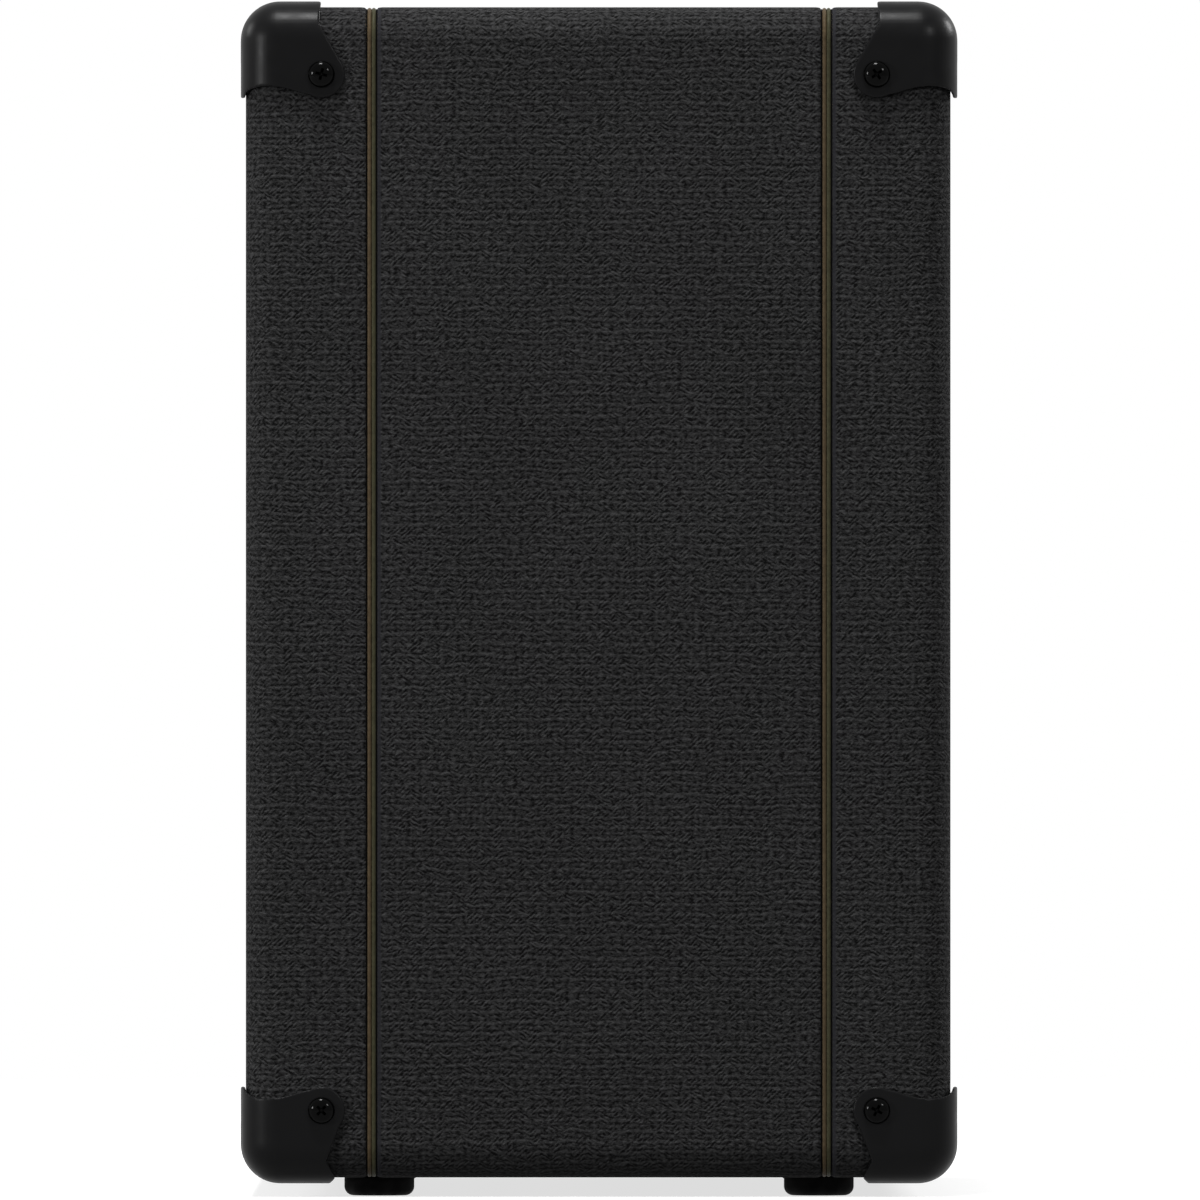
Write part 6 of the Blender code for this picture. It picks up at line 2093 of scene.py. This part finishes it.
@dataclass
class Handle:
    """The dish let into the top, and in it the bail with its moulded grip."""

    fasteners: Fasteners
    length: float = 0.150
    width: float = 0.052
    wall: float = 0.002
    round: float = 0.010
    arm: float = 0.030
    bend: float = 0.005
    wire: float = 0.0025
    boss: Point2 = (0.0055, 0.006)
    grip: Point2 = (0.0065, 0.090)
    ribs: int = 15

    def __post_init__(self) -> None:
        """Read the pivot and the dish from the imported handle."""
        dish, bail = NodeBox.of("handle_dish"), NodeBox.of("handle_bail")
        self.top, self.floor = dish.high.z, dish.low.z
        self.flange = dish.size
        self.pivot = Vector((0.0, 0.015, bail.centre.z))
        self.inner = self.length / 2 - self.wall

    def dish(self) -> None:
        """The moulded dish with its bosses and rests, and the screws in its flange."""
        top, floor, wall, pivot, inner = self.top, self.floor, self.wall, self.pivot, self.inner
        outline = rounded_rectangle(self.length, self.width, self.round, steps=12)
        flange = rounded_rectangle(self.flange.x, self.flange.y, self.round + 0.008, steps=12)
        room = rounded_rectangle(self.length - 2 * wall, self.width - 2 * wall, self.round - wall, steps=12)
        tray = slab("handle_dish_moulding", [outline], floor, top - wall / 2, Facing.HEIGHT)
        rim = bevelled(slab("dish_flange", [flange], top - wall, top, Facing.HEIGHT), 0.0009, 4)
        hollow = slab("dish_room", [room], floor + wall, top + 0.004, Facing.HEIGHT)
        radius, long = self.boss
        bore, foot = self.wire + 2 * GAP, inner - long
        profile = [(bore, foot), (radius - 0.0006, foot), (radius, foot + 0.0006), (radius, inner + GAP),
                   (bore, inner + GAP)]
        place = (self.grip[1] / 2 + inner - long - self.bend) / 2 - 0.0025
        tall = pivot.z - self.wire - GAP - floor - wall / 2
        posts = []
        for side in Side:
            turn = Matrix.Translation(pivot) @ Matrix.Rotation(side.value * pi / 2, 4, "Y")
            posts.append(lathe(f"dish_boss_{side.name}", profile, 48, turn, closed=True))
            post = block("bail_rest", (0.005, 0.007, tall),
                         (side.value * place, pivot.y - self.arm, floor + wall / 2 + tall / 2))
            posts.append(bevelled(post, 0.0007))
        dish = combined(combined(combined(tray, "UNION", rim), "DIFFERENCE", hollow), "UNION", *posts)
        fit(dish, HANDLE_BLACK, ["handle_dish"])
        head = self.fasteners.cross_head("dish_screw", 0.0033, 0.0009, (0.0016, 0.003))
        places = [((side.value * (self.flange.x / 2 - 0.0075), edge.value * 0.012, top - 0.0007), UP)
                  for side, edge in product(Side, Edge)]
        self.fasteners.set_round("dish_screws", head, places, SCREW_BLACK, "black_screw", seed=8)

    def bail(self) -> None:
        """The bent wire, and the ribbed grip moulded on it."""
        end = self.inner + self.wall / 2 - GAP
        arm = self.inner - self.boss[1] - GAP - self.bend
        right = [(end, 0.0)]
        right += arc((arm + self.bend, -self.bend), self.bend, 90, 180, 10)
        right += arc((arm - self.bend, self.bend - self.arm), self.bend, 0, -90, 10)
        points = right + [(-across, back) for across, back in reversed(right)]
        path = [(across, self.pivot.y + back, self.pivot.z) for across, back in points]
        wire = curved("handle_bail_wire", [path], False, dimensions="3D", bevel_depth=self.wire,
                      bevel_resolution=8, use_fill_caps=True)
        fit(welded(baked(wire, 60.0)), ZINC, ["handle_bail"], "handle_bail")
        radius, long = self.grip
        half = long / 2
        profile = [(self.wire + HAIR, half), (0.0040, half)]
        profile += arc((0.0040, half - 0.0023), 0.0023, 85, 5, 8)
        steps = self.ribs * 8
        reach = half - 0.005
        for step in range(steps + 1):
            at = reach - 2 * reach * step / steps
            waist = 0.0005 * (1 - (at / reach) ** 2)
            groove = 0.00045 * max(0.0, cos(2 * pi * self.ribs * step / steps)) ** 4
            profile.append((radius - waist - groove, at))
        profile += [(across, -up) for across, up in reversed(arc((0.0040, half - 0.0023), 0.0023, 85, 5, 8))]
        profile += [(0.0040, -half), (self.wire + HAIR, -half)]
        place = Matrix.Translation(self.pivot - BACK * self.arm) @ Matrix.Rotation(pi / 2, 4, "Y")
        grip = lathe("handle_grip", profile, 64, place, closed=True)
        fit(grip, HANDLE_BLACK, body="handle_bail")

    def build(self) -> None:
        """Make the dish and the bail."""
        self.dish()
        self.bail()


@dataclass
class Studio:
    """Camera, lamps, white surroundings and the pale floor."""

    aim: tuple[float, float, float] = (0.0, 0.0003, 0.1953)
    frame_size: float = 0.3924
    lens: float = 1200.0
    ambient: float = 0.28
    floor_size: float = 6.0
    floor_glow: float = 0.72
    floor_bounce: float = 0.12

    def camera(self) -> None:
        """A long lens square to the right side."""
        data = bpy.data.cameras.new("camera")
        data.lens = self.lens
        data.sensor_width = 36.0
        data.clip_end = 200.0
        away = self.frame_size * self.lens / data.sensor_width
        camera = new_piece("camera", data)
        camera.location = Vector(self.aim) + RIGHT * (BODY.high.x + away)
        camera.rotation_euler = (pi / 2, 0.0, pi / 2)
        bpy.context.scene.camera = camera

    def lamp(self, name: str, place: Sequence[float], size: float, power: float) -> None:
        """A square softbox aimed at the amplifier's middle.

        Args:
            name: The lamp's name.
            place: Where it stands.
            size: Its side.
            power: Its power in watts.
        """
        data = bpy.data.lights.new(name, "AREA")
        data.size = size
        data.energy = power
        lamp = new_piece(name, data)
        lamp.location = place
        lamp.rotation_euler = (Vector(self.aim) - Vector(place)).to_track_quat("-Z", "Y").to_euler()

    def seen(self, nodes: NodeTree) -> Socket:
        """One where a ray comes straight, or by mirror or glass, from the camera.

        Args:
            nodes: The tree that asks.

        Returns:
            The socket with 1 or 0.
        """
        path = nodes.add("ShaderNodeLightPath").outputs
        either = nodes.sum("MAXIMUM", path["Is Camera Ray"], path["Is Glossy Ray"])
        return nodes.sum("MAXIMUM", either, path["Is Transmission Ray"])

    def world(self) -> None:
        """White to the eye, and an even grey light on the object."""
        world = bpy.data.worlds.new("surroundings")
        world.use_nodes = True
        nodes = NodeTree(world.node_tree)
        plain = nodes.feed(nodes.tree.nodes["Background"], Color=(1.0, 1.0, 1.0), Strength=self.ambient)
        white = nodes.add("ShaderNodeBackground", Color=(1.0, 1.0, 1.0))
        mix = nodes.add("ShaderNodeMixShader", self.seen(nodes), plain, white)
        nodes.feed(nodes.tree.nodes["World Output"], Surface=mix)
        bpy.context.scene.world = world

    def floor(self) -> None:
        """A pale floor that goes white to the eye but keeps the shadow."""
        mesh = bpy.data.meshes.new("floor")
        corners = rectangle(self.floor_size, self.floor_size)
        mesh.from_pydata([(x, y, 0.0) for x, y in corners], [], [(0, 1, 2, 3)])
        floor = new_piece("floor", mesh)
        shader = Shader("floor")
        grain = shader.noise(shader.place(), 60.0, 2.0)
        shader.finish(Base_Color=shader.blend(grain, (0.34, 0.34, 0.34), (0.36, 0.36, 0.36)), Roughness=0.9,
                      Specular_IOR_Level=0.0)
        glow = shader.add("ShaderNodeEmission", Strength=self.floor_glow)
        white = shader.add("ShaderNodeAddShader", shader.surface, glow)
        plain = shader.add("ShaderNodeBsdfDiffuse", Color=(self.floor_bounce,) * 3)
        mix = shader.add("ShaderNodeMixShader", self.seen(shader), plain, white)
        shader.feed(shader.tree.nodes["Material Output"], Surface=mix)
        floor.data.materials.append(shader.material)

    def build(self) -> None:
        """Set the studio up."""
        self.camera()
        self.world()
        self.floor()
        self.lamp("overhead", (0.98, -0.30, 3.7), 0.8, 180.0)
        self.lamp("left", (1.3, -1.95, 0.6), 0.4, 33.0)
        self.lamp("right", (2.5, 1.9, 1.9), 0.5, 40.0)
        self.lamp("front", (-0.9, -2.8, 1.4), 0.8, 32.0)
        self.lamp("back", (-1.4, 2.6, 1.6), 0.8, 70.0)
        bpy.context.scene.view_settings.view_transform = "Standard"


def build_boards() -> None:
    """Give the wooden parts their grain."""
    keep(BARE_WOOD, "cabinet_top", "cabinet_bottom", "grille_frame")
    keep(BAFFLE_WOOD, "baffle_board")
    keep(SIDE_WOOD, "cabinet_right_side", "cabinet_left_side")


def main() -> None:
    """Build the amplifier piece by piece, then the studio round it."""
    logging.basicConfig(level=logging.INFO, format="%(name)s: %(message)s")
    fasteners = Fasteners(fastener_tree())
    Studio().build()
    build_boards()
    Covering().build()
    Piping().build()
    CornerProtectors().build()
    fasteners.build()
    Front().build()
    ControlPanel(fasteners, Knob()).build()
    Chassis(fasteners).build()
    BackPanels(fasteners).build()
    Speaker(fasteners).build()
    Handle(fasteners).build()


if __name__ == "__main__":
    main()
